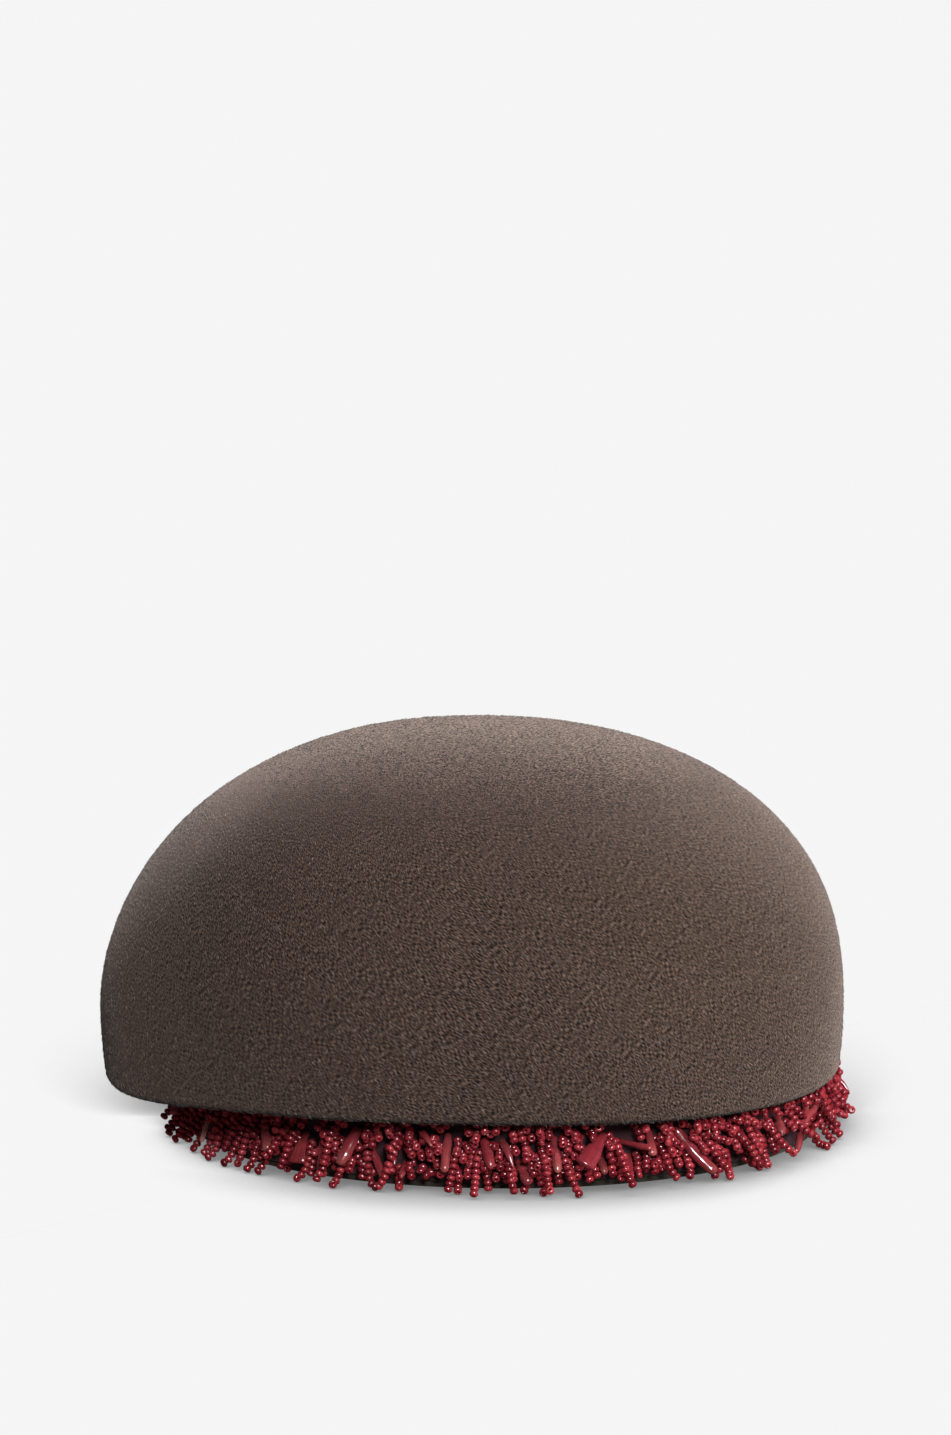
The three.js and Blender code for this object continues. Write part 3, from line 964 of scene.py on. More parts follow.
    def build_hairs(self) -> Object:
        """Makes loose hairs that lie along the nap, each a thin closed spike rooted in the felt.

        A hair runs down and round in the way of the nap, lifts a little, and ends in a point.

        Returns:
            The hairs' object.
        """
        draw, count = Chance(self.hair_seed), self.hair_count
        root, down, around, top = self.hair_roots(draw)
        normal = unit(np.cross(down, around))
        usual_slant, slant_spread = np.radians(self.hair_slant)
        slant = usual_slant + slant_spread * draw.randn(count, 1)
        lie = (1 - top) * (np.cos(slant) * down + np.sin(slant) * around)
        lie += top * np.concatenate([np.cos(slant), -np.sin(slant), 0 * slant], axis=1)
        lie = unit(lie - normal * (lie * normal).sum(axis=1, keepdims=True))
        least_lift, lift_spread = np.radians(self.hair_lift)
        lift = least_lift + lift_spread * draw.rand(count, 1) ** 2
        shortest, longest = self.hair_length
        length = shortest + (longest - shortest) * draw.rand(count, 1)
        least_width, width_spread = self.hair_widths
        width = self.hair_width * (least_width + width_spread * draw.rand(count, 1))
        way = np.cos(lift) * lie + np.sin(lift) * normal
        side = np.cross(normal, lie) * width / 2
        sunk = root - normal * self.hair_root
        ridge = sunk + normal * (self.hair_root + width / 2)
        points = np.stack([sunk - side, sunk + side, ridge, sunk + way * length], axis=1)
        spike = np.array([[0, 2, 1], [0, 1, 3], [1, 2, 3], [2, 0, 3]])
        faces = (len(spike) * np.arange(count)[:, None, None] + spike).reshape(-1, 3)
        places = self.lines.to_frame(points.reshape(-1, 3))
        hairs = new_piece("felt_hairs", places, [faces], LooseHair(), ["crown"])
        usual_tone, tone_spread = self.hair_tone
        tone = np.clip(usual_tone + tone_spread * draw.randn(count), 0, 1)
        write_values(hairs, "tone", np.repeat(tone, len(spike)))
        return hairs


@dataclass
class HeadBand:
    """The felt head band and the dark tape that the strands are sewn to.

    Attributes:
        lines: the hat's curves.
        lengths: the nodes of the fringe, whose backing the tape stands for.
        columns: facets round both.
        corner_steps: facets round each corner.
        wall, corner: the band's thickness, and the radius of its corners.
        tape_wall, tape_corner: the same of the tape.
        tape_bottom: the level of its lower edge.
        tape_under_rim: how far its upper edge stays under the felt.
    """

    lines: HatLines
    lengths: list[str]
    columns: int = 224
    corner_steps: int = 4
    wall: float = 2.0
    corner: float = 0.8
    tape_wall: float = 0.8
    tape_corner: float = 4 / 11
    tape_bottom: float = 2.2
    tape_under_rim: float = 0.5

    def face(self) -> float:
        """How far the tape's outer face stands off the band."""
        return GAP + self.tape_wall

    def ring(self, inner: float, outer: float, bottom: float, top: Array, corner: float) -> Array:
        """An upright ring with round corners: a rounded box's outline, carried round the band.

        Args:
            inner: the inner face's distance from the band's outer face.
            outer: the outer face's distance.
            bottom: the level of its lower edge.
            top: the level of its upper edge at each angle.
            corner: the radius of its corners.

        Returns:
            Points as a closed grid.
        """
        turn = np.linspace(0, QUARTER, self.corner_steps + 1)
        bend = np.concatenate([turn + quarter * QUARTER for quarter in range(4)])
        along_out, along_up = (np.repeat(ends, turn.size) for ends in ((1, 0, 0, 1), (1, 1, 0, 0)))
        out = inner + corner + (outer - inner - 2 * corner) * along_out + corner * np.cos(bend)
        height = top[None, :] - bottom - 2 * corner
        z = bottom + corner + height * along_up[:, None] + corner * np.sin(bend)[:, None]
        return self.lines.band_point(self.angles()[None, :], out[:, None], z)[::-1]

    def angles(self) -> Array:
        """Even angles round the band."""
        return TURN * np.arange(self.columns) / self.columns

    def build(self) -> list[Object]:
        """Makes the band, and the tape that stands for the backing of every length of fringe.

        Returns:
            Both pieces.
        """
        band_top = np.full(self.columns, self.lines.band_height)
        tape_top = self.lines.rim(self.angles()) - self.tape_under_rim
        band = self.ring(-self.wall, 0, 0, band_top, self.corner)
        tape = self.ring(GAP, self.face(), self.tape_bottom, tape_top, self.tape_corner)
        quads = ring_quads(len(band), self.columns, True)
        return [new_piece(name, self.lines.to_frame(grid.reshape(-1, 3)), [quads], finish, nodes)
                for name, grid, finish, nodes in (("felt_band", band, BROWN_BAND_FELT, ["band"]),
                                                  ("fringe_tape", tape, WINE_TAPE_FELT, self.lengths))]


class CoralKind(Enum):
    """The forms that the coral comes in."""

    STICK = "stick"
    BENT = "bent"
    HORN = "horn"
    STUB = "stub"
    PETAL = "petal"
    FORK = "fork"


STICK, BENT, HORN, STUB, PETAL, FORK = CoralKind


@dataclass(frozen=True)
class CoralForm:
    """How thick a kind of coral is along its length.

    Attributes:
        depth: its thickness as a share of its width.
        bow: how far its middle stands off a straight line.
        girth: pairs of a place from root to tip and a share of the half width.
        tip_round: how much of the length the rounding of its tip takes.
        drilled: whether the tip has a drilled hole.
    """

    depth: float
    bow: float
    girth: tuple[Pair, ...]
    tip_round: float
    drilled: bool = False


CORAL_FORMS = {
    STICK: CoralForm(0.8, 0.0, ((0.05, 0.78), (0.3, 0.9), (0.75, 1.0), (0.94, 0.84)), 0.12),
    BENT: CoralForm(0.85, -1.6, ((0.05, 0.78), (0.3, 0.92), (0.75, 1.0), (0.94, 0.86)), 0.1),
    HORN: CoralForm(0.85, 2.2, ((0.05, 0.7), (0.25, 1.0), (0.6, 0.78), (0.93, 0.34)), 0.08),
    STUB: CoralForm(0.9, 0.4, ((0.08, 0.8), (0.35, 1.0), (0.7, 0.96), (0.93, 0.7)), 0.1, True),
    PETAL: CoralForm(0.42, 1.4, ((0.05, 0.36), (0.35, 0.5), (0.72, 0.86), (0.94, 0.94)), 0.05),
    FORK: CoralForm(0.85, 0.8, ((0.05, 0.9), (0.35, 1.0), (0.6, 0.95), (0.95, 0.75)), 0.1),
}


@dataclass(frozen=True)
class CoralStick:
    """One piece of coral: where it is sewn on and where its tip stands.

    Attributes:
        kind: its form.
        angle: where its root stands round the band, in degrees.
        turn: how far round the tip lies from the root, in degrees.
        root_z: the root's height.
        tip_z: the tip's height.
        reach: how far the tip stands off the band.
        width: its full width.
        worn: how bleached it is, from 0 to 1.
    """

    kind: CoralKind
    angle: float
    turn: float
    root_z: float
    tip_z: float
    reach: float
    width: float
    worn: float = 0.0


FRONT_CORAL = (
    CoralStick(STICK, 206, 4, 13, 4.5, 9, 1.9, worn=0.75),
    CoralStick(STICK, 223, 5, 14.5, 7.6, 9, 3.2),
    CoralStick(PETAL, 233.3, 1, 13.5, 5.5, 9, 5.6),
    CoralStick(STICK, 236.6, 2, 13.5, 2.2, 8.5, 2.4),
    CoralStick(STICK, 244, -1.4, 17, 7.2, 10, 4.2),
    CoralStick(STICK, 246, 4, 11.5, 3.6, 8, 2.4),
    CoralStick(STUB, 249, 2.6, 12, 8.4, 7, 2.4),
    CoralStick(STUB, 252.6, 0, 8, 4, 7, 2.2),
    CoralStick(HORN, 255, 3, 17, 14.5, 9, 2.4),
    CoralStick(STICK, 260, 0, 17, 7, 9, 2.9),
    CoralStick(STUB, 266, 1.5, 15.5, 8.5, 9, 3.4),
    CoralStick(HORN, 269, 2, 15, 8.5, 9, 2.6),
    CoralStick(STICK, 272, 1.5, 9.5, 3.5, 8, 3.6),
    CoralStick(STICK, 278, 0, 16, 7, 9, 2.8),
    CoralStick(PETAL, 287, -5, 16.2, 9, 10.5, 6.8),
    CoralStick(STICK, 289.5, 4, 13.5, 12.5, 9.5, 2.2),
    CoralStick(STUB, 286, 0, 9, 5.5, 7, 2.6),
    CoralStick(STICK, 291, -1, 9.5, 4, 8.5, 2.6),
    CoralStick(STICK, 295, -1, 16, 10, 8, 2.8),
    CoralStick(BENT, 300, 5, 16, 3.2, 10.5, 3.7),
    CoralStick(STICK, 315, -2, 12, 7.5, 8, 2),
    CoralStick(STUB, 325, -2.5, 12.5, 9, 7, 3.2),
    CoralStick(FORK, 337, -12, 13.5, 3, 9, 2.9),
)


SWELLING, WHOLE_WEAR, TIP_WEAR = 21, 31, 32  # which series of scattered numbers each takes


@dataclass(frozen=True)
class BackCoral:
    """The sticks of the far side: evenly spaced, and varied by the scatter rule.

    Attributes:
        count: how many there are.
        first: the first one's angle in degrees.
        last: the last one's angle.
        kinds: the forms that follow each other.
        petal_width: a petal's full width.
        root_z, turn, fall, reach, width: the least value and the spread of each size of a stick.
    """

    count: int = 17
    first: float = -14.0
    last: float = 192.0
    kinds: tuple[CoralKind, ...] = (STICK, HORN, STUB, STICK, PETAL, STICK)
    petal_width: float = 5.8
    root_z: Pair = (11.0, 5.0)
    turn: Pair = (-3.0, 6.0)
    fall: Pair = (4.0, 4.0)
    reach: Pair = (7.5, 2.5)
    width: Pair = (2.0, 1.4)

    def sticks(self) -> list[CoralStick]:
        """Draws every stick's sizes, each size from a series of its own.

        Returns:
            The sticks in order round the band.
        """
        index = np.arange(self.count)
        angle = np.linspace(self.first, self.last, self.count)
        ranges = (self.root_z, self.turn, self.fall, self.reach, self.width)
        root, turn, fall, reach, width = (
            least + spread * scatter(index, salt) for salt, (least, spread) in enumerate(ranges, start=1))
        kinds = [self.kinds[i % len(self.kinds)] for i in index]
        width = [self.petal_width if kind is PETAL else own for kind, own in zip(kinds, width)]
        return [CoralStick(*sizes) for sizes in zip(kinds, angle, turn, root, root - fall, reach, width)]


@dataclass
class CoralTrim:
    """Polished coral sewn in among the strands.

    Attributes:
        lines: the hat's curves.
        backing_face: how far the tape's outer face stands off the band.
        rows, end_rows, sides: rows of facets along a stick, those in each rounded end, and facets round it.
        root_round: how much of the length the rounding of a root takes.
        soft_steps, soft_window: in how many steps the girth is softened, and how many are taken together.
        swellings: how strong each slow swelling of the girth is, how often it comes and how its start moves.
        hole: the girth of a drilled hole as a share of the half width.
        hole_rows: places along the stick and shares of that girth, for the hole's wall and floor.
        end_point: how far a root's end point stands past its first row.
        grain_step: how far apart the sticks read the growth lines.
        wear_blend: the share of the length over which tips bleach.
        tip_wear, whole_wear: how far tips and whole sticks bleach at most.
        arm_from: where a fork's second arm leaves its stem.
        arm_turn, arm_rise, arm_reach: how many degrees round from the root its tip lies, how far above the
            stem's tip and how far off the band.
        arm_width: the arm's width as a share of the stem's.
        ball_count, ball_ends: how many balls stand for a stick among the strands, and from where to where.
        ball_share: a ball's radius as a share of the half width.
        flat_depth: the depth under which a form is flat, so that three rows of balls fill it.
    """

    lines: HatLines
    backing_face: float
    rows: int = 30
    end_rows: int = 6
    sides: int = 20
    root_round: float = 0.1
    soft_steps: int = 240
    soft_window: int = 31
    swellings: tuple[tuple[float, float, int], ...] = ((0.045, 1.4, 1), (0.03, 3.1, 2))
    hole: float = 0.36
    hole_rows: tuple[Pair, ...] = ((0.99, 0.8), (0.8, 0.75))
    end_point: float = 0.001
    grain_step: float = 9.0
    wear_blend: Blend = Blend(0.6, 1.0)
    tip_wear: float = 0.25
    whole_wear: float = 0.06
    arm_from: float = 0.45
    arm_turn: float = 3.5
    arm_rise: float = 10.0
    arm_reach: float = 4.5
    arm_width: float = 0.9
    ball_count: int = 9
    ball_ends: Pair = (0.02, 0.97)
    ball_share: float = 0.92
    flat_depth: float = 0.6

    def sticks(self) -> list[CoralStick]:
        """Every stick, those of the near side first."""
        return [*FRONT_CORAL, *BackCoral().sticks()]

    def ends(self, stick: CoralStick) -> tuple[Array, Array, Array]:
        """The root, middle and tip that a stick's curve is drawn through.

        Args:
            stick: the stick.

        Returns:
            Three points. The root stands clear of the tape, the more so the steeper the stick lies.
        """
        form = CORAL_FORMS[stick.kind]
        root_along, root_girth = form.girth[0]
        drop, run = stick.root_z - stick.tip_z, stick.reach - self.backing_face
        lean = root_girth * form.depth * stick.width / 2 * drop / np.hypot(drop, run)
        root_out = self.backing_face + GAP + max(0.0, lean - root_along * run)
        angle = np.radians(stick.angle)
        root = self.lines.band_point(angle, root_out, stick.root_z)
        tip = self.lines.band_point(angle + np.radians(stick.turn), stick.reach, stick.tip_z)
        outward, _ = self.lines.band_ways(angle)
        return root, (root + tip) / 2 + (outward + [0, 0, 1]) * form.bow, tip

    def curve(self, stick: CoralStick, along: Array) -> tuple[Array, Array]:
        """A stick's curve, a quadratic Bezier from its root to its tip.

        Args:
            stick: the stick.
            along: places from root to tip, 0 to 1.

        Returns:
            Points and directions.
        """
        root, middle, tip = self.ends(stick)
        t = along[:, None]
        points = (1 - t) ** 2 * root + 2 * t * (1 - t) * middle + t ** 2 * tip
        return points, unit((1 - t) * (middle - root) + t * (tip - middle))

    def arm(self, stick: CoralStick, along: Array) -> tuple[Array, Array]:
        """A fork's second arm, a straight line that leaves its stem part way.

        Args:
            stick: the fork.
            along: places from 0 at the stem to 1 at the arm's tip.

        Returns:
            Points and directions.
        """
        start, _ = self.curve(stick, np.array([self.arm_from]))
        tip_angle = np.radians(stick.angle + self.arm_turn)
        tip = self.lines.band_point(tip_angle, self.arm_reach, stick.tip_z + self.arm_rise)
        points = start + (tip - start) * along[:, None]
        return points, unit(np.broadcast_to(tip - start, points.shape))

    def girth(self, form: CoralForm, along: Array, phase: float) -> Array:
        """A smooth share of the half width along a stick.

        Args:
            form: the kind's table of girths.
            along: places from root to tip, 0 to 1.
            phase: shifts the slow swellings, so that no two sticks are alike.

        Returns:
            The table's line, softened by a moving average, swollen by slow waves and rounded at both ends.
        """
        places, shares = np.array(form.girth).T
        fine = np.linspace(0, 1, self.soft_steps + 1)
        window = np.hanning(self.soft_window)
        padded = np.pad(np.interp(fine, places, shares), self.soft_window // 2, mode="edge")
        soft = np.interp(along, fine, np.convolve(padded, window / window.sum(), mode="valid"))
        waves = sum((strength * np.sin(TURN * (often * along + moves * phase))
                     for strength, often, moves in self.swellings), start=1)
        from_root = 1 - np.clip(along / self.root_round, 0, 1)
        from_tip = 1 - np.clip((1 - along) / form.tip_round, 0, 1)
        return soft * waves * np.sqrt(1 - from_root ** 2) * np.sqrt(1 - from_tip ** 2)

    def along(self, form: CoralForm) -> Array:
        """Places along a stick, close together at its rounded ends.

        Args:
            form: the stick's form.

        Returns:
            Numbers from near 0 to near 1.
        """
        bend = np.linspace(0, QUARTER, self.end_rows + 1)[1:]
        root = self.root_round * (1 - np.cos(bend))
        tip = 1 - form.tip_round * (1 - np.cos(bend[::-1]))
        between = np.linspace(root[-1], tip[0], self.rows - 2 * self.end_rows + 2)[1:-1]
        return np.concatenate([root, between, tip])

    def wear(self, stick: CoralStick, number: int, along: Array) -> Array:
        """How bleached a stick is along its length: some are paler all over, and some towards their tips.

        Args:
            stick: the stick.
            number: its place in the row, which varies its wear.
            along: places from root to tip, 0 to 1.

        Returns:
            Numbers from 0 to 1.
        """
        whole = self.whole_wear * float(scatter(number, WHOLE_WEAR)) ** 2
        tip = self.wear_blend.at(along) * self.tip_wear * float(scatter(number, TIP_WEAR)) ** 3
        return np.clip(stick.worn + whole + tip, 0, 1)

    def rod(self, stick: CoralStick, number: int, is_arm: bool) -> tuple[Array, ...]:
        """One rod: an oval carried along its curve, closed at both ends.

        A drilled tip turns back in: its face, the hole's wall and the hole's floor are further rows.

        Args:
            stick: the stick.
            number: its place in the row, which varies its swelling.
            is_arm: whether this is a fork's second arm.

        Returns:
            Points, coordinates along the grain in millimetres, how bleached each point is, and faces.
        """
        form = CORAL_FORMS[stick.kind]
        along = self.along(form)
        share = self.girth(form, along, float(scatter(number, SWELLING)))
        if form.drilled:
            hole_along, hole_shares = np.array(self.hole_rows).T
            is_tip_half = along > 0.5
            share = np.maximum(share, np.where(is_tip_half, self.hole, 0))
            along = np.concatenate([along, hole_along])
            share = np.concatenate([share, self.hole * hole_shares])
        points, forward = (self.arm if is_arm else self.curve)(stick, along)
        half = stick.width / 2 * (self.arm_width if is_arm else 1)
        _, around = self.lines.band_ways(np.radians(stick.angle))
        thick = unit(np.cross(around, forward))
        across = np.cross(forward, thick)
        phi = TURN * np.arange(self.sides) / self.sides
        wide = (half * share[:, None] * np.sin(phi))[..., None] * across[:, None]
        deep = (half * share[:, None] * np.cos(phi) * form.depth)[..., None] * thick[:, None]
        grid = points[:, None] + wide + deep
        length = np.linalg.norm(points[-1] - points[0])
        across_mm = half * np.sin(phi)[None, :] + self.grain_step * number
        grain = np.stack(np.broadcast_arrays(across_mm, length * along[:, None], half * np.cos(phi)[None, :]),
                         axis=-1)
        ends = np.stack([points[0] - forward[0] * self.end_point, points[-1]])
        worn = self.wear(stick, number, along)
        faces = [ring_quads(len(along), self.sides, False)[:, ::-1],
                 end_fans(len(along), self.sides)[:, ::-1]]
        return (np.concatenate([grid.reshape(-1, 3), ends]),
                np.concatenate([grain.reshape(-1, 3), grain[[0, -1], 0]]),
                np.concatenate([np.repeat(worn, self.sides), worn[[0, -1]]]), faces)

    def build(self) -> list[Object]:
        """Makes every stick, each in the place of its own node.

        Returns:
            The sticks' objects.
        """
        pieces = []
        for number, stick in enumerate(self.sticks()):
            arms = (False, True) if stick.kind is FORK else (False,)
            points, grains, worn, faces = zip(*(self.rod(stick, number, is_arm) for is_arm in arms))
            starts = np.cumsum([0] + [len(part) for part in points])
            faces = [part + start for parts, start in zip(faces, starts) for part in parts]
            places = self.lines.to_frame(np.concatenate(points))
            piece = new_piece(f"coral_stick_{number + 1:02d}", places, faces, PolishedCoral(),
                              [f"coral_{number + 1:02d}"])
            write_values(piece, "grain_mm", np.concatenate(grains))
            write_values(piece, "worn", np.concatenate(worn))
            pieces.append(piece)
        return pieces

    def balls(self) -> tuple[Array, Array]:
        """Balls that fill the sticks, for the strands to lie against.

        Returns:
            The balls' middles and radii.
        """
        along = np.linspace(*self.ball_ends, self.ball_count)
        middles, radii = [], []
        for stick in self.sticks():
            form = CORAL_FORMS[stick.kind]
            is_flat = form.depth < self.flat_depth
            half = stick.width / 2 * np.interp(along, *np.array(form.girth).T)
            spare = half * (1 - form.depth)
            _, around = self.lines.band_ways(np.radians(stick.angle))
            for run in (self.curve, self.arm) if stick.kind is FORK else (self.curve,):
                points, _ = run(stick, along)
                for side in (-1, 0, 1) if is_flat else (0,):
                    middles.append(points + around * (side * spare)[:, None])
                    radii.append(half * (form.depth if is_flat else self.ball_share))
        return np.concatenate(middles), np.concatenate(radii)


@dataclass
class StrandBed:
    """Strands of beads that settle under their weight between the felt, the coral, the tape and the table.

    Attributes:
        lines: the hat's curves.
        places: a point for each bead of each strand.
        shown: which of those are beads, since strands differ in length.
        held: which beads are sewn down.
        span: the least distance between a bead and its next but one, for each strand.
        droop: how far each strand sinks in a step.
        extra: how much further than the others each strand may stand out.
        pitch: the distance between neighbours on a strand.
        radius: a bead's radius.
        face: how far the tape's outer face stands off the band.
        reach: how far beads may stand off the band at the hat's ends and at its sides.
        balls: the middles and radii of the balls that stand for the coral.
        closeness: how near the beads of different strands may come, as a share of touching.
        straighten, part, clear: how much of a fault in bend, nearness or coral is set right at a time.
        watch, coral_watch: how many radii off a bead, or a ball's face, a bead starts to be watched.
        watch_steps: after how many steps the pairs to watch are found again.
        sight: what is added to the way out of the band to look along it at the coral.
        hiding_depth, hiding_share: how far in front of the coral a bead hides it, and how far across it, as a
            share of both radii.
    """

    lines: HatLines
    places: Array
    shown: Array
    held: Array
    span: Array
    droop: Array
    extra: Array
    pitch: float
    radius: float
    face: float
    reach: Pair
    balls: tuple[Array, Array]
    closeness: float = 0.94
    straighten: float = 0.3
    part: float = 0.7
    clear: float = 0.5
    watch: float = 3.2
    coral_watch: float = 2.6
    watch_steps: int = 5
    sight: Triple = (0.0, -0.5, 0.35)
    hiding_depth: float = 9.0
    hiding_share: float = 0.62

    def loose(self) -> Array:
        """1 for each bead that can move and 0 for the others."""
        return (self.shown & ~self.held).astype(float)

    def settle(self, steps: int, passes: int) -> None:
        """Lets the strands sink a little at a time and then sets right what they break.

        Args:
            steps: how many times they sink.
            passes: how often each rule is applied after that.
        """
        loose = self.loose()
        for step in range(steps):
            if step % self.watch_steps == 0:
                near = self.near_beads()
                near_coral = self.near_balls()
            self.places[..., 2] -= self.droop[:, None] * loose
            for _ in range(passes):
                self.push_apart(*near)
                self.push_off_coral(*near_coral)
                self.keep_straight()
                self.keep_pitch()
                self.keep_clear(loose)

    def keep_pitch(self) -> None:
        """Moves neighbours along their line until they are one pitch apart, even pairs and then odd."""
        loose = self.loose()
        for start in (0, 1):
            firsts, seconds = slice(start, -1, 2), slice(start + 1, None, 2)
            weight_a, weight_b = loose[:, firsts, None], loose[:, seconds, None]
            both = (self.shown[:, firsts] & self.shown[:, seconds])[..., None]
            line = self.places[:, seconds] - self.places[:, firsts]
            length = lengths_of(line)
            total = np.maximum(weight_a + weight_b, TINY)
            move = both * line * (1 - self.pitch / length) / total
            self.places[:, firsts] += weight_a * move
            self.places[:, seconds] -= weight_b * move

    def keep_straight(self) -> None:
        """Moves a bead and its next but one apart where a strand bends more than it can."""
        loose = self.loose()
        line = self.places[:, 2:] - self.places[:, :-2]
        length = lengths_of(line)
        both = (self.shown[:, 2:] & self.shown[:, :-2])[..., None]
        short = np.maximum(self.span[:, None, None] / length - 1, 0) * both
        move = line * short * self.straighten
        self.places[:, 2:] += move * loose[:, 2:, None]
        self.places[:, :-2] -= move * loose[:, :-2, None]

    def near_beads(self) -> tuple[Array, Array]:
        """Finds beads close enough to touch soon, leaving out those that follow each other on a strand.

        Returns:
            The first and the second bead of each pair.
        """
        flat = np.flatnonzero(self.shown)
        points = self.places.reshape(-1, 3)[flat]
        squares = (points ** 2).sum(axis=1)
        apart = squares[:, None] + squares[None, :] - 2 * points @ points.T
        first, second = np.nonzero(np.triu(apart < (self.watch * self.radius) ** 2, 1))
        first, second = flat[first], flat[second]
        far = np.abs(first - second) > 2
        return first[far], second[far]

    def near_balls(self) -> tuple[Array, Array]:
        """Finds beads that are close to the coral.

        Returns:
            The bead and the ball of each pair.
        """
        flat = np.flatnonzero(self.shown & ~self.held)
        points, (middles, radii) = self.places.reshape(-1, 3)[flat], self.balls
        apart = ((points ** 2).sum(axis=1)[:, None] + (middles ** 2).sum(axis=1) - 2 * points @ middles.T)
        bead, ball = np.nonzero(apart < (radii + self.coral_watch * self.radius) ** 2)
        return flat[bead], ball

    def hiding(self) -> Array:
        """Finds the strands that lie over the coral, as seen from outside and a little above.

        Returns:
            True for each strand that has a bead there.
        """
        points, (middles, radii) = self.places.reshape(-1, 3), self.balls
        outward, _ = self.lines.band_ways(self.lines.band_angle(middles))
        sight = unit(outward + self.sight)
        offset = points[:, None] - middles[None]
        along = (offset * sight).sum(axis=-1)
        aside = np.linalg.norm(offset - along[..., None] * sight, axis=-1)
        in_front = (along > 0) & (along < self.hiding_depth)
        over = (in_front & (aside < self.hiding_share * (radii + self.radius))).any(axis=1)
        return (over.reshape(self.shown.shape) & self.shown).any(axis=1)

    def keep(self, strands: Array) -> None:
        """Keeps some of the strands and drops the others."""
        for name in ("places", "shown", "held", "span", "droop", "extra"):
            setattr(self, name, getattr(self, name)[strands])

    def shift(self, index: Array, moves: Array) -> None:
        """Adds up the moves of each bead and makes them.

        Args:
            index: the bead that each move belongs to.
            moves: the moves.
        """
        count = self.shown.size
        total = np.stack([np.bincount(index, moves[:, axis], count) for axis in range(3)], axis=-1)
        self.places += total.reshape(self.places.shape)

    def push_apart(self, first: Array, second: Array) -> None:
        """Moves beads of different strands apart where they overlap.

        Args:
            first: one bead of each close pair.
            second: the other.
        """
        points, loose = self.places.reshape(-1, 3), self.loose().ravel()
        line = points[second] - points[first]
        length = lengths_of(line)[:, 0]
        short = np.maximum(2 * self.radius * self.closeness - length, 0) / length
        total = np.maximum(loose[first] + loose[second], TINY)
        move = line * (self.part * short / total)[:, None]
        self.shift(np.concatenate([first, second]),
                   np.concatenate([-move * loose[first, None], move * loose[second, None]]))

    def push_off_coral(self, bead: Array, ball: Array) -> None:
        """Moves beads out of the coral.

        Args:
            bead: the bead of each close pair.
            ball: the ball of coral.
        """
        middles, radii = self.balls
        line = self.places.reshape(-1, 3)[bead] - middles[ball]
        length = lengths_of(line)[:, 0]
        short = np.maximum(radii[ball] + self.radius - length, 0) / length
        self.shift(bead, line * (self.clear * short)[:, None])

    def band_share(self, out: Array | float) -> Array:
        """How far out the beads stand, as a share of the band's ellipse grown by a distance."""
        along = (self.places[..., 0] - self.lines.band_x) / (self.lines.band_half_length + out)
        return np.hypot(along, self.places[..., 1] / (self.lines.band_half_width + out))

    def keep_clear(self, loose: Array) -> None:
        """Keeps loose beads above the table, off the tape, within the fringe's reach and under the felt.

        Args:
            loose: 1 for each bead that can move.
        """
        lines, is_loose = self.lines, loose > 0
        x, y, z = (self.places[..., axis] for axis in range(3))
        at_ends, at_sides = self.reach
        reach = at_ends + (at_sides - at_ends) * np.sin(lines.band_angle(self.places)) ** 2
        near = np.minimum(self.band_share(self.face + self.radius), 1)
        far = np.maximum(self.band_share(reach + self.extra[:, None]), 1)
        stretch = np.where(is_loose, 1 / (np.maximum(near, TINY) * far), 1)
        self.places[..., 0] = lines.band_x + (x - lines.band_x) * stretch
        self.places[..., 1] = y * stretch
        felt = lines.rim_at(self.places[..., 0]) - self.radius
        self.places[..., 2] = np.where(is_loose, np.clip(z, self.radius, felt), z)


@dataclass(frozen=True)
class Loop:
    """A strand sewn down at both ends.

    Attributes:
        angle: the first end's place round the band, in degrees.
        turn: how far round the second end is.
        root_z: both ends' height.
        count: how many beads it has.
    """

    angle: float
    turn: float
    root_z: float
    count: int


LOOPS = (Loop(245.6, 6.4, 15, 20), Loop(18, 8, 11, 21), Loop(74, 7, 12, 23), Loop(128, 8, 13, 24),
         Loop(171, -7, 11, 21))


@dataclass(frozen=True)
class StrandForm:
    """One of the forms that the short strands come in.

    Attributes:
        share: the share of strands that have it.
        beads: the least and the most beads.
        dip: how far it first points up, in degrees.
        bend: the most that it bends from bead to bead, in degrees.
        extra: how much further than the others it may stand out.
    """

    share: float
    beads: tuple[int, int]
    dip: float
    bend: float
    extra: float


STRAND_FORMS = (StrandForm(0.76, (3, 4), 11, 2, 0.0), StrandForm(0.2, (4, 5), -22, 5, 1.5),
                StrandForm(0.04, (6, 7), -30, 6, 3.0))


@dataclass(frozen=True)
class Chain:
    """A longer strand that hangs clear of the others.

    Attributes:
        angle: its root's place round the band, in degrees.
        height: the share of the way up the tape.
        beads: how many it has.
        swing: how far it first points round the band, in degrees.
        dip: how far it first points up.
    """

    angle: float
    height: float
    beads: int
    swing: float
    dip: float


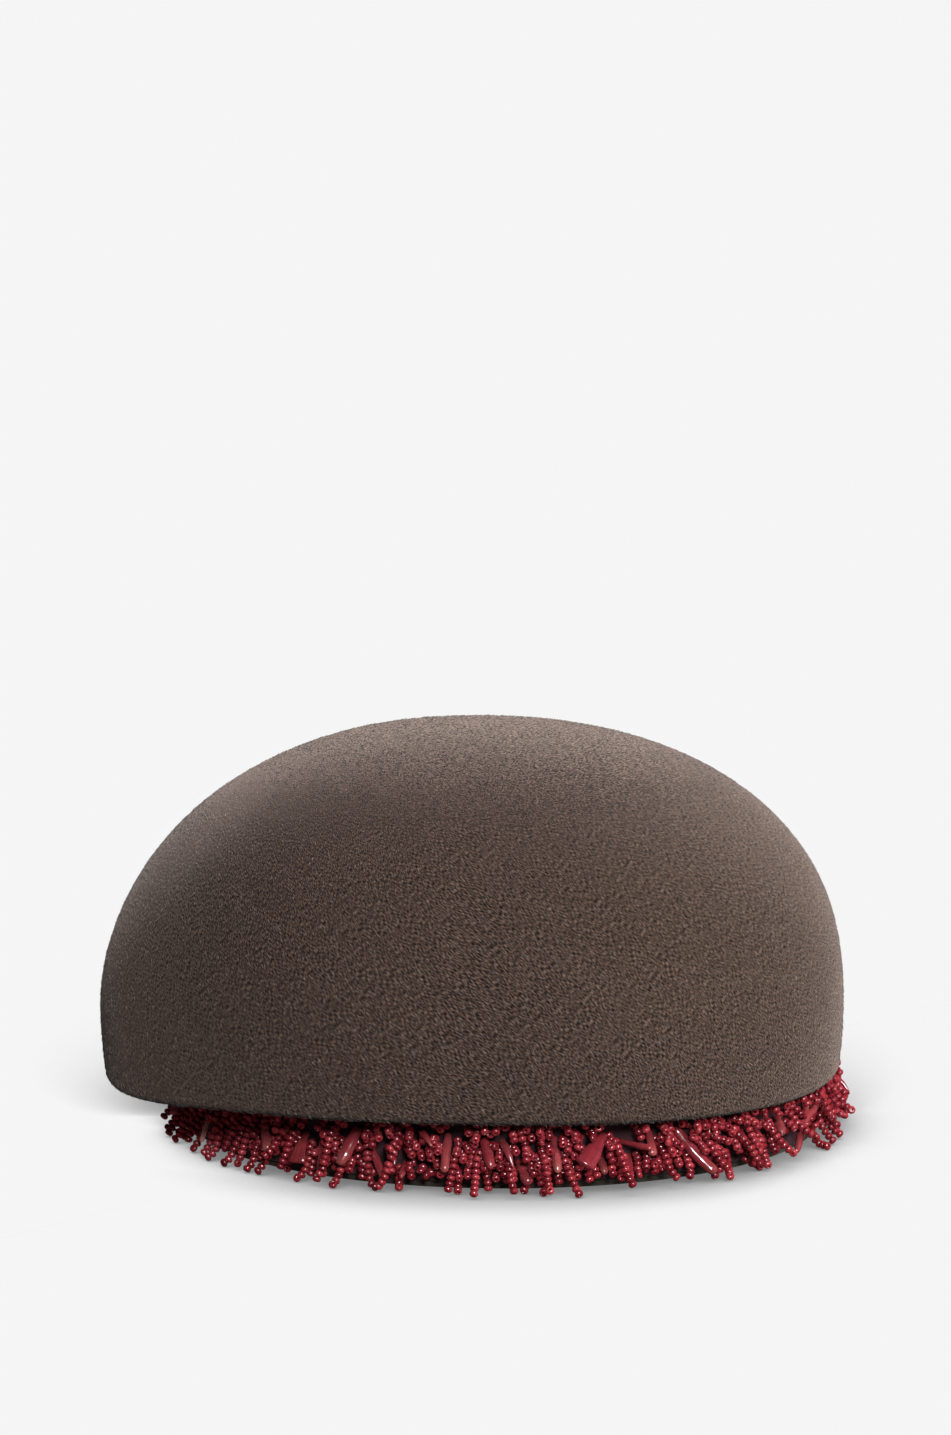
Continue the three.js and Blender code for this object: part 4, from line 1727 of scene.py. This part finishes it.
CHAINS = (
    Chain(187, 0.55, 7, 0, -30), Chain(190.5, 0.4, 7, 0, -36), Chain(194, 0.5, 8, 0, -40),
    Chain(198.5, 0.5, 8, 0, -44), Chain(203, 0.5, 7, 0, -46), Chain(207, 0.5, 8, -6, -44),
    Chain(211, 0.5, 8, -8, -44), Chain(213.5, 0.3, 8, -8, -42), Chain(218.5, 0.5, 9, -8, -46),
    Chain(226.8, 0.5, 9, -12, -44), Chain(234.6, 0.3, 8, -8, -42), Chain(238.6, 0.3, 8, -8, -40),
    Chain(216, 0.45, 6, -10, -40), Chain(221, 0.6, 9, 0, -48), Chain(224, 0.25, 8, -5, -40),
    Chain(229.5, 0.6, 8, -25, -36), Chain(232, 0.6, 9, -14, -42), Chain(240.2, 0.8, 9, -8, -42),
    Chain(242.2, 0.4, 9, -10, -40), Chain(260, 0.4, 9, 4, -36), Chain(266, 0.55, 10, -12, -38),
    Chain(269, 0.6, 10, 22, -36), Chain(275.5, 0.6, 10, 12, -36), Chain(279, 0.5, 10, 24, -36),
    Chain(284, 0.4, 6, 4, -36), Chain(287.5, 0.75, 11, 18, -34), Chain(296, 0.6, 9, 20, -32),
    Chain(305, 0.65, 9, 22, -28), Chain(312, 0.5, 9, 22, -26), Chain(320, 0.6, 9, 18, -22),
    Chain(328, 0.7, 8, 12, -16), Chain(338, 0.75, 7, 8, -14), Chain(347, 0.8, 5, 0, -10),
    Chain(8, 0.9, 5, 0, 6), Chain(15, 0.95, 7, -8, 4),
)


@dataclass
class BeadFringe:
    """Some hundreds of short strands of seed beads, in lengths that meet round the band.

    A blend here reads the cosine of the angle round the band, which is 1 at the right end and -1 at the left,
    or the sine, which is -1 in front.

    Attributes:
        lines: the hat's curves.
        face: how far the tape's outer face stands off the band.
        coral: the coral that the strands make room for.
        nodes: the nodes of the fringe, one for each length.
        strands, tries: how many strands there may be, and how many places are tried for each.
        radius, hole, bead_length: a bead's radius, its hole's radius, and its length.
        hole_waist, hole_ends: the hole's radius and its wall's ends, as shares of its mouth and the length.
        sides, profile: facets round a bead, and points in its section.
        pitch: the distance between neighbours on a strand.
        most_beads: room for the beads of a strand.
        reach: how far beads may stand off the band at the hat's ends and at its sides.
        low, low_blend: the lowest roots at the hat's ends and sides, and where those at the ends begin.
        crowding: the power that draws the roots up the tape where it is less than 1.
        spacing, coral_room: how near a root may be to another and to the coral, in bead radii.
        thinning: how far the strands are thinned out at the left and the right end.
        left_thin_blend, right_thin_blend: where that begins.
        right_share, right_share_blend: how much more often strands at the right are of the longer forms.
        left_from, left_most: the cosine past which strands at the left are kept short, and to how many beads.
        facing, facing_blend: how far strands in front turn to the camera, as a share of all the way.
        left_dip, left_dip_blend: how far strands at the left point down, in degrees.
        right_lift, right_lift_blend: how far strands at the right point up, in degrees.
        high_lift: how far the highest roots' strands point up beside the lowest ones', in degrees.
        level_height: the share of the way up the tape where they do neither.
        swing_spread, dip_spread: how far strands stray round the band and up and down, in degrees.
        least_bend: how far any strand bends from bead to bead, in degrees.
        chain_extra, chain_bend: how far the chains may stand out, and how far they bend.
        loop_bend, loop_fall: how far the loops bend, and how far they hang.
        sunk: how far off the tape a root is, in bead radii.
        held_beads: how many beads of a strand are sewn down.
        droop: how far a strand sinks in a step, and how much further for each radian that it bends.
        rounds: how many steps the strands sink in each round.
        passes: how often they are set right in a step.
        askew: how far beads sit askew on their thread.
        turned_share: how many of the end beads lie across it.
        upright: how far along Z a hole runs where its bead's sides are counted from X.
        tone: the beads' usual tone, and its spread.
        seed: the seed of it all.
    """

    lines: HatLines
    face: float
    coral: CoralTrim
    nodes: list[str]
    strands: int = 820
    tries: int = 30
    radius: float = 1.3
    hole: float = 0.46
    bead_length: float = 1.68
    hole_waist: float = 0.9
    hole_ends: float = 0.6
    sides: int = 9
    profile: int = 8
    pitch: float = 1.7
    most_beads: int = 24
    reach: Pair = (8.8, 10.8)
    low: Pair = (6.0, 4.8)
    low_blend: Blend = Blend(0.25, 0.6)
    crowding: float = 0.8
    spacing: float = 1.78
    coral_room: float = 0.7
    thinning: Pair = (0.3, 0.45)
    left_thin_blend: Blend = Blend(0.6, 0.9)
    right_thin_blend: Blend = Blend(0.5, 0.85)
    right_share: float = 0.22
    right_share_blend: Blend = Blend(0.15, 0.6)
    left_from: float = 0.45
    left_most: int = 5
    facing: float = 0.7
    facing_blend: Blend = Blend(0.3, 0.7)
    swing_spread: float = 20.0
    left_dip: float = 34.0
    left_dip_blend: Blend = Blend(0.0, 1.0)
    right_lift: float = 8.0
    right_lift_blend: Blend = Blend(0.2, 0.6)
    high_lift: float = 12.0
    level_height: float = 0.6
    dip_spread: float = 10.0
    least_bend: float = 0.5
    chain_extra: float = 6.5
    chain_bend: float = 5.0
    loop_bend: float = 26.0
    loop_fall: float = 9.0
    sunk: float = 0.9
    held_beads: int = 2
    droop: Pair = (0.01, 0.2)
    rounds: tuple[int, ...] = (60, 70, 10)
    passes: int = 3
    askew: float = 0.12
    turned_share: float = 0.25
    upright: float = 0.9
    tone: Pair = (0.5, 0.2)
    seed: int = 23

    def height(self, angle: Array, share: Array) -> Array:
        """Heights on the tape.

        Args:
            angle: the angle round the band.
            share: the share of the way from the lowest roots to just under the felt.

        Returns:
            The heights there.
        """
        at_ends, at_sides = self.low
        low = at_sides + (at_ends - at_sides) * self.low_blend.at(np.abs(np.cos(angle)))
        return low + (self.lines.rim(angle) - self.radius - GAP - low) * share

    def roots(self, draw: Chance) -> tuple[Array, Array]:
        """Places where the strands are sewn on: all over the tape, clear of the coral and of each other.

        Args:
            draw: the source of chance.

        Returns:
            Angles round the band, and shares of the way up the tape, the chains' first.
        """
        middles, radii = self.coral.balls()
        tries, chains = self.strands * self.tries, len(CHAINS)
        angle = np.append(np.radians([chain.angle for chain in CHAINS]), TURN * draw.rand(tries))
        share = np.append([chain.height for chain in CHAINS], draw.rand(tries) ** self.crowding)
        point = self.lines.band_point(angle, self.face + self.radius, self.height(angle, share))
        apart = np.linalg.norm(point[:, None] - middles[None], axis=-1) - radii
        left, right = self.thinning
        thin = (left * self.left_thin_blend.at(-np.cos(angle))
                + right * self.right_thin_blend.at(np.cos(angle)))
        free = (apart.min(axis=1) > self.radius * self.coral_room) & (draw.rand(len(angle)) > thin)
        kept = list(range(chains))
        for i in chains + np.flatnonzero(free[chains:]):
            gaps = np.linalg.norm(point[kept] - point[i], axis=1)
            if gaps.min() > (self.spacing + thin[i]) * self.radius and len(kept) < self.strands:
                kept.append(i)
        return angle[kept], share[kept]

    def lies(self, angle: Array, height: Array, draw: Chance) -> tuple[Array, ...]:
        """Draws how each strand is made and which way it first points.

        Args:
            angle: its root's place round the band.
            height: the share of the way up the tape.
            draw: the source of chance.

        Returns:
            How many beads it has, how far it points round the band and up, how far it bends, and how much
            further than the others it may stand out. Angles are in radians.
        """
        count, chains, right = len(angle), len(CHAINS), np.cos(angle)
        chance = draw.rand(count) + self.right_share * self.right_share_blend.at(right)
        pick = np.searchsorted(np.cumsum([form.share for form in STRAND_FORMS]), chance)
        pick = np.minimum(pick, len(STRAND_FORMS) - 1)
        fewest, most = np.array([form.beads for form in STRAND_FORMS])[pick].T
        dip, most_bend, extra = np.array([(form.dip, form.bend, form.extra) for form in STRAND_FORMS])[pick].T
        beads = fewest + np.floor((most - fewest + 1) * draw.rand(count)).astype(int)
        beads = np.where(right < -self.left_from, np.minimum(beads, self.left_most), beads)
        facing = self.facing_blend.at(-np.sin(angle)) * np.arcsin(-right)
        swing = self.facing * facing + np.radians(self.swing_spread) * draw.randn(count)
        dip = dip - self.left_dip * self.left_dip_blend.at(-right)
        dip += self.right_lift * self.right_lift_blend.at(right)
        dip += self.high_lift * (height - self.level_height)
        dip = np.radians(dip + self.dip_spread * draw.randn(count))
        bend = np.radians(self.least_bend + most_bend * draw.rand(count))
        beads[:chains] = [chain.beads for chain in CHAINS]
        swing[:chains] = np.radians([chain.swing for chain in CHAINS])
        dip[:chains] = np.radians([chain.dip for chain in CHAINS])
        bend[:chains] = np.radians(self.chain_bend)
        extra[:chains] = self.chain_extra
        return beads, swing, dip, bend, extra

    def loop_places(self, loop: Loop) -> tuple[Array, Array, Array]:
        """A loop as half an ellipse that hangs out from its two ends, before it sinks.

        Args:
            loop: the loop's ends and its number of beads.

        Returns:
            Points, which of them are beads, and which of those are held.
        """
        index = np.arange(self.most_beads)
        share = np.clip(index / (loop.count - 1), 0, 1)
        hang = np.sin(np.pi * share)
        angle = np.radians(loop.angle + loop.turn * share)
        out = self.face + self.radius + (self.reach[1] - self.face - self.radius) * hang
        points = self.lines.band_point(angle, out, loop.root_z - self.loop_fall * hang)
        return points, index < loop.count, (index == 0) | (index == loop.count - 1)

    def bed(self) -> StrandBed:
        """Lays every strand out straight from its root, before it sinks.

        Returns:
            The strands: the chains first, then the short ones, and the loops last.
        """
        draw = Chance(self.seed)
        angle, height = self.roots(draw)
        beads, swing, dip, bend, extra = self.lies(angle, height, draw)
        outward, around = self.lines.band_ways(angle)
        level = np.cos(swing)[:, None] * outward + np.sin(swing)[:, None] * around
        way = np.cos(dip)[:, None] * level + np.sin(dip)[:, None] * np.array([0, 0, 1])
        root = self.lines.band_point(angle, self.face + self.radius * self.sunk, self.height(angle, height))
        index = np.arange(self.most_beads)
        places = root[:, None] + way[:, None] * (self.pitch * index)[None, :, None]
        shown = index[None, :] < beads[:, None]
        held = (index[None, :] < self.held_beads) & shown
        loops = zip(*(self.loop_places(loop) for loop in LOOPS))
        places, shown, held = (np.concatenate([straight, np.stack(looped)])
                               for straight, looped in zip((places, shown, held), loops))
        bend = np.append(bend, np.full(len(LOOPS), np.radians(self.loop_bend)))
        extra = np.append(extra, np.zeros(len(LOOPS)))
        least_droop, droop = self.droop
        return StrandBed(self.lines, places, shown, held, span=2 * self.pitch * np.cos(bend / 2),
                         droop=least_droop + droop * bend, extra=extra, pitch=self.pitch, radius=self.radius,
                         face=self.face, reach=self.reach, balls=self.coral.balls())

    def settled(self) -> StrandBed:
        """Lets the strands sink, and after each round drops the short ones that have come to hide the coral.

        Returns:
            The strands that are left.
        """
        bed = self.bed()
        for steps in self.rounds:
            bed.settle(steps, self.passes)
            order = np.arange(len(bed.shown))
            placed = (order < len(CHAINS)) | (order >= len(order) - len(LOOPS))
            bed.keep(placed | ~bed.hiding())
        return bed

    def hole_ways(self, bed: StrandBed, draw: Chance) -> Array:
        """The ways that the holes run: along the strand, a little askew, or across it at some ends.

        Args:
            bed: the settled strands.
            draw: the source of chance.

        Returns:
            A direction for each bead.
        """
        last = bed.shown & ~np.roll(bed.shown, -1, axis=1)
        last[:, -1] |= bed.shown[:, -1]
        ahead, behind = np.roll(bed.places, -1, axis=1), np.roll(bed.places, 1, axis=1)
        ahead[last] = bed.places[last]
        behind[:, 0] = bed.places[:, 0]
        along = unit(ahead - behind)
        askew = self.askew * draw.randn(*along.shape)
        crosswise = np.cross(along, draw.randn(*along.shape))
        turned = last & (draw.rand(*last.shape) < self.turned_share)
        turned[-len(LOOPS):] = False
        return unit(np.where(turned[..., None], crosswise, along + askew))

    def bead_profile(self) -> tuple[Array, Array]:
        """A bead's section as a closed loop: half an ellipse from the hole out and back, and the hole's wall.

        Returns:
            Distances from the hole's axis, and places along it.
        """
        turn = np.linspace(-QUARTER, QUARTER, self.profile - 2)
        out = self.hole + (self.radius - self.hole) * np.cos(turn)
        along = np.append(np.sin(turn), [self.hole_ends, -self.hole_ends])
        return np.append(out, [self.hole_waist * self.hole] * 2), self.bead_length / 2 * along

    def bead_points(self, places: Array, axis: Array) -> Array:
        """Carries the bead's section round the axis of every bead.

        Args:
            places: the beads' middles.
            axis: the directions of their holes.

        Returns:
            An array of beads, section points, sides and coordinates.
        """
        is_upright = np.abs(axis[:, 2:]) >= self.upright
        first = unit(np.cross(axis, np.where(is_upright, [[1.0, 0.0, 0.0]], [[0.0, 0.0, 1.0]])))
        second = np.cross(axis, first)
        phi = TURN * np.arange(self.sides) / self.sides
        out, along = self.bead_profile()
        spoke = np.cos(phi)[None, :, None] * first[:, None] + np.sin(phi)[None, :, None] * second[:, None]
        return (places[:, None, None] + out[None, :, None, None] * spoke[:, None]
                + along[None, :, None, None] * axis[:, None, None])

    def build(self) -> list[Object]:
        """Settles the strands, turns each bead along its strand, and makes one piece for each length.

        Returns:
            The lengths' objects.
        """
        bed = self.settled()
        LOG.info("%d strands, %d beads", len(bed.shown), bed.shown.sum())
        draw = Chance(self.seed + 1)
        axis = self.hole_ways(bed, draw)
        usual_tone, tone_spread = self.tone
        tone = np.clip(usual_tone + tone_spread * draw.randn(*bed.shown.shape), 0, 1)
        angle = self.lines.band_angle(bed.places[:, 0]) % TURN
        length = np.floor(angle / TURN * len(self.nodes)).astype(int)
        faces = ring_quads(self.profile, self.sides, True)
        size = self.profile * self.sides
        pieces = []
        for number, node in enumerate(self.nodes):
            chosen = bed.shown & (length == number)[:, None]
            points = self.bead_points(bed.places[chosen], axis[chosen]).reshape(-1, 3)
            starts = size * np.arange(chosen.sum())[:, None, None]
            piece = new_piece(f"seed_beads_{number + 1:02d}", self.lines.to_frame(points),
                              [(starts + faces).reshape(-1, 4)], SeedBeadGlass(), [node])
            write_values(piece, "tone", np.repeat(tone[chosen], size))
            pieces.append(piece)
        return pieces


@dataclass(frozen=True)
class Lamp:
    """A broad lamp, so far off that it falls evenly.

    Attributes:
        name: the lamp's name.
        azimuth: where it stands, in degrees from the camera's side towards the right.
        elevation: how high it stands, in degrees.
        width: how wide it looks from the hat, in degrees.
        strength: its power on a square metre.
        is_mirrored: whether polished things show its reflection, as they don't where a screen hides it.
    """

    name: str
    azimuth: float
    elevation: float
    width: float
    strength: float
    is_mirrored: bool = True

    def build(self) -> None:
        """Adds the lamp to the scene."""
        light = bpy.data.lights.new(self.name, "SUN")
        light.energy = self.strength
        light.angle = np.radians(self.width)
        lamp = bpy.data.objects.new(self.name, light)
        lamp.rotation_euler = (np.radians(90 - self.elevation), 0, np.radians(self.azimuth))
        lamp.visible_glossy = self.is_mirrored
        bpy.context.scene.collection.objects.link(lamp)


LAMPS = (Lamp("key_lamp", 12, 30, 14, 6.0), Lamp("right_lamp", 75, 25, 50, 9.5, is_mirrored=False),
         Lamp("back_lamp", 165, 35, 50, 9.5, is_mirrored=False))


@dataclass
class Studio:
    """The table, the lamps and the camera.

    Attributes:
        lens: the camera's focal length.
        camera_place: where it stands.
        camera_pitch: how far it looks down, in degrees.
        camera_sight: how far it sees, in metres.
        table_half: half the table's width, in metres.
        sky_grey: the sky's colour.
        sky_strength: its brightness.
    """

    lens: float = 115.0
    camera_place: Triple = (-0.4, -1358.9, 350.2)
    camera_pitch: float = 9.45
    camera_sight: float = 500.0
    table_half: float = 60.0
    sky_grey: str = "#b5b5b5"
    sky_strength: float = 0.012

    def build(self) -> None:
        """Makes the table, the lamps, the sky and the camera."""
        self.table()
        for lamp in LAMPS:
            lamp.build()
        self.sky()
        self.camera()

    def table(self) -> None:
        """A wide level table top, which polished things don't show."""
        half = self.table_half
        corners = [(-half, -half, 0), (half, -half, 0), (half, half, 0), (-half, half, 0)]
        mesh = bpy.data.meshes.new("table_top")
        mesh.from_pydata(corners, [], [(0, 1, 2, 3)])
        mesh.materials.append(StudioFloor().material())
        table = bpy.data.objects.new("table_top", mesh)
        bpy.context.scene.collection.objects.link(table)
        table.visible_glossy = False

    def sky(self) -> None:
        """An even, very dim grey sky."""
        world = bpy.data.worlds.new("studio_sky")
        world.use_nodes = True
        background = world.node_tree.nodes["Background"]
        background.inputs["Color"].default_value = linear(self.sky_grey)
        background.inputs["Strength"].default_value = self.sky_strength
        bpy.context.scene.world = world

    def camera(self) -> None:
        """A long lens a little above the hat, level from side to side."""
        camera = bpy.data.cameras.new("camera")
        camera.lens = self.lens
        camera.clip_end = self.camera_sight
        body = bpy.data.objects.new("camera", camera)
        body.location = np.array(self.camera_place) * MM
        body.rotation_euler = (np.radians(90 - self.camera_pitch), 0, 0)
        bpy.context.scene.collection.objects.link(body)
        bpy.context.scene.camera = body
        bpy.context.scene.view_settings.view_transform = "Standard"


def main() -> None:
    """Builds the hat part by part and reports each piece, then sets up the studio round it."""
    logging.basicConfig(level=logging.INFO, format="%(message)s")
    lines = HatLines.of_frame()
    lengths = sorted(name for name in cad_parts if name.startswith("bead_fringe"))
    band = HeadBand(lines, lengths)
    coral = CoralTrim(lines, band.face())
    for part in (Crown(lines), band, coral, BeadFringe(lines, band.face(), coral, lengths)):
        for piece in part.build():
            LOG.info("%s: %d faces", piece.name, len(piece.data.polygons))
    Studio().build()


if __name__ == "__main__":
    main()
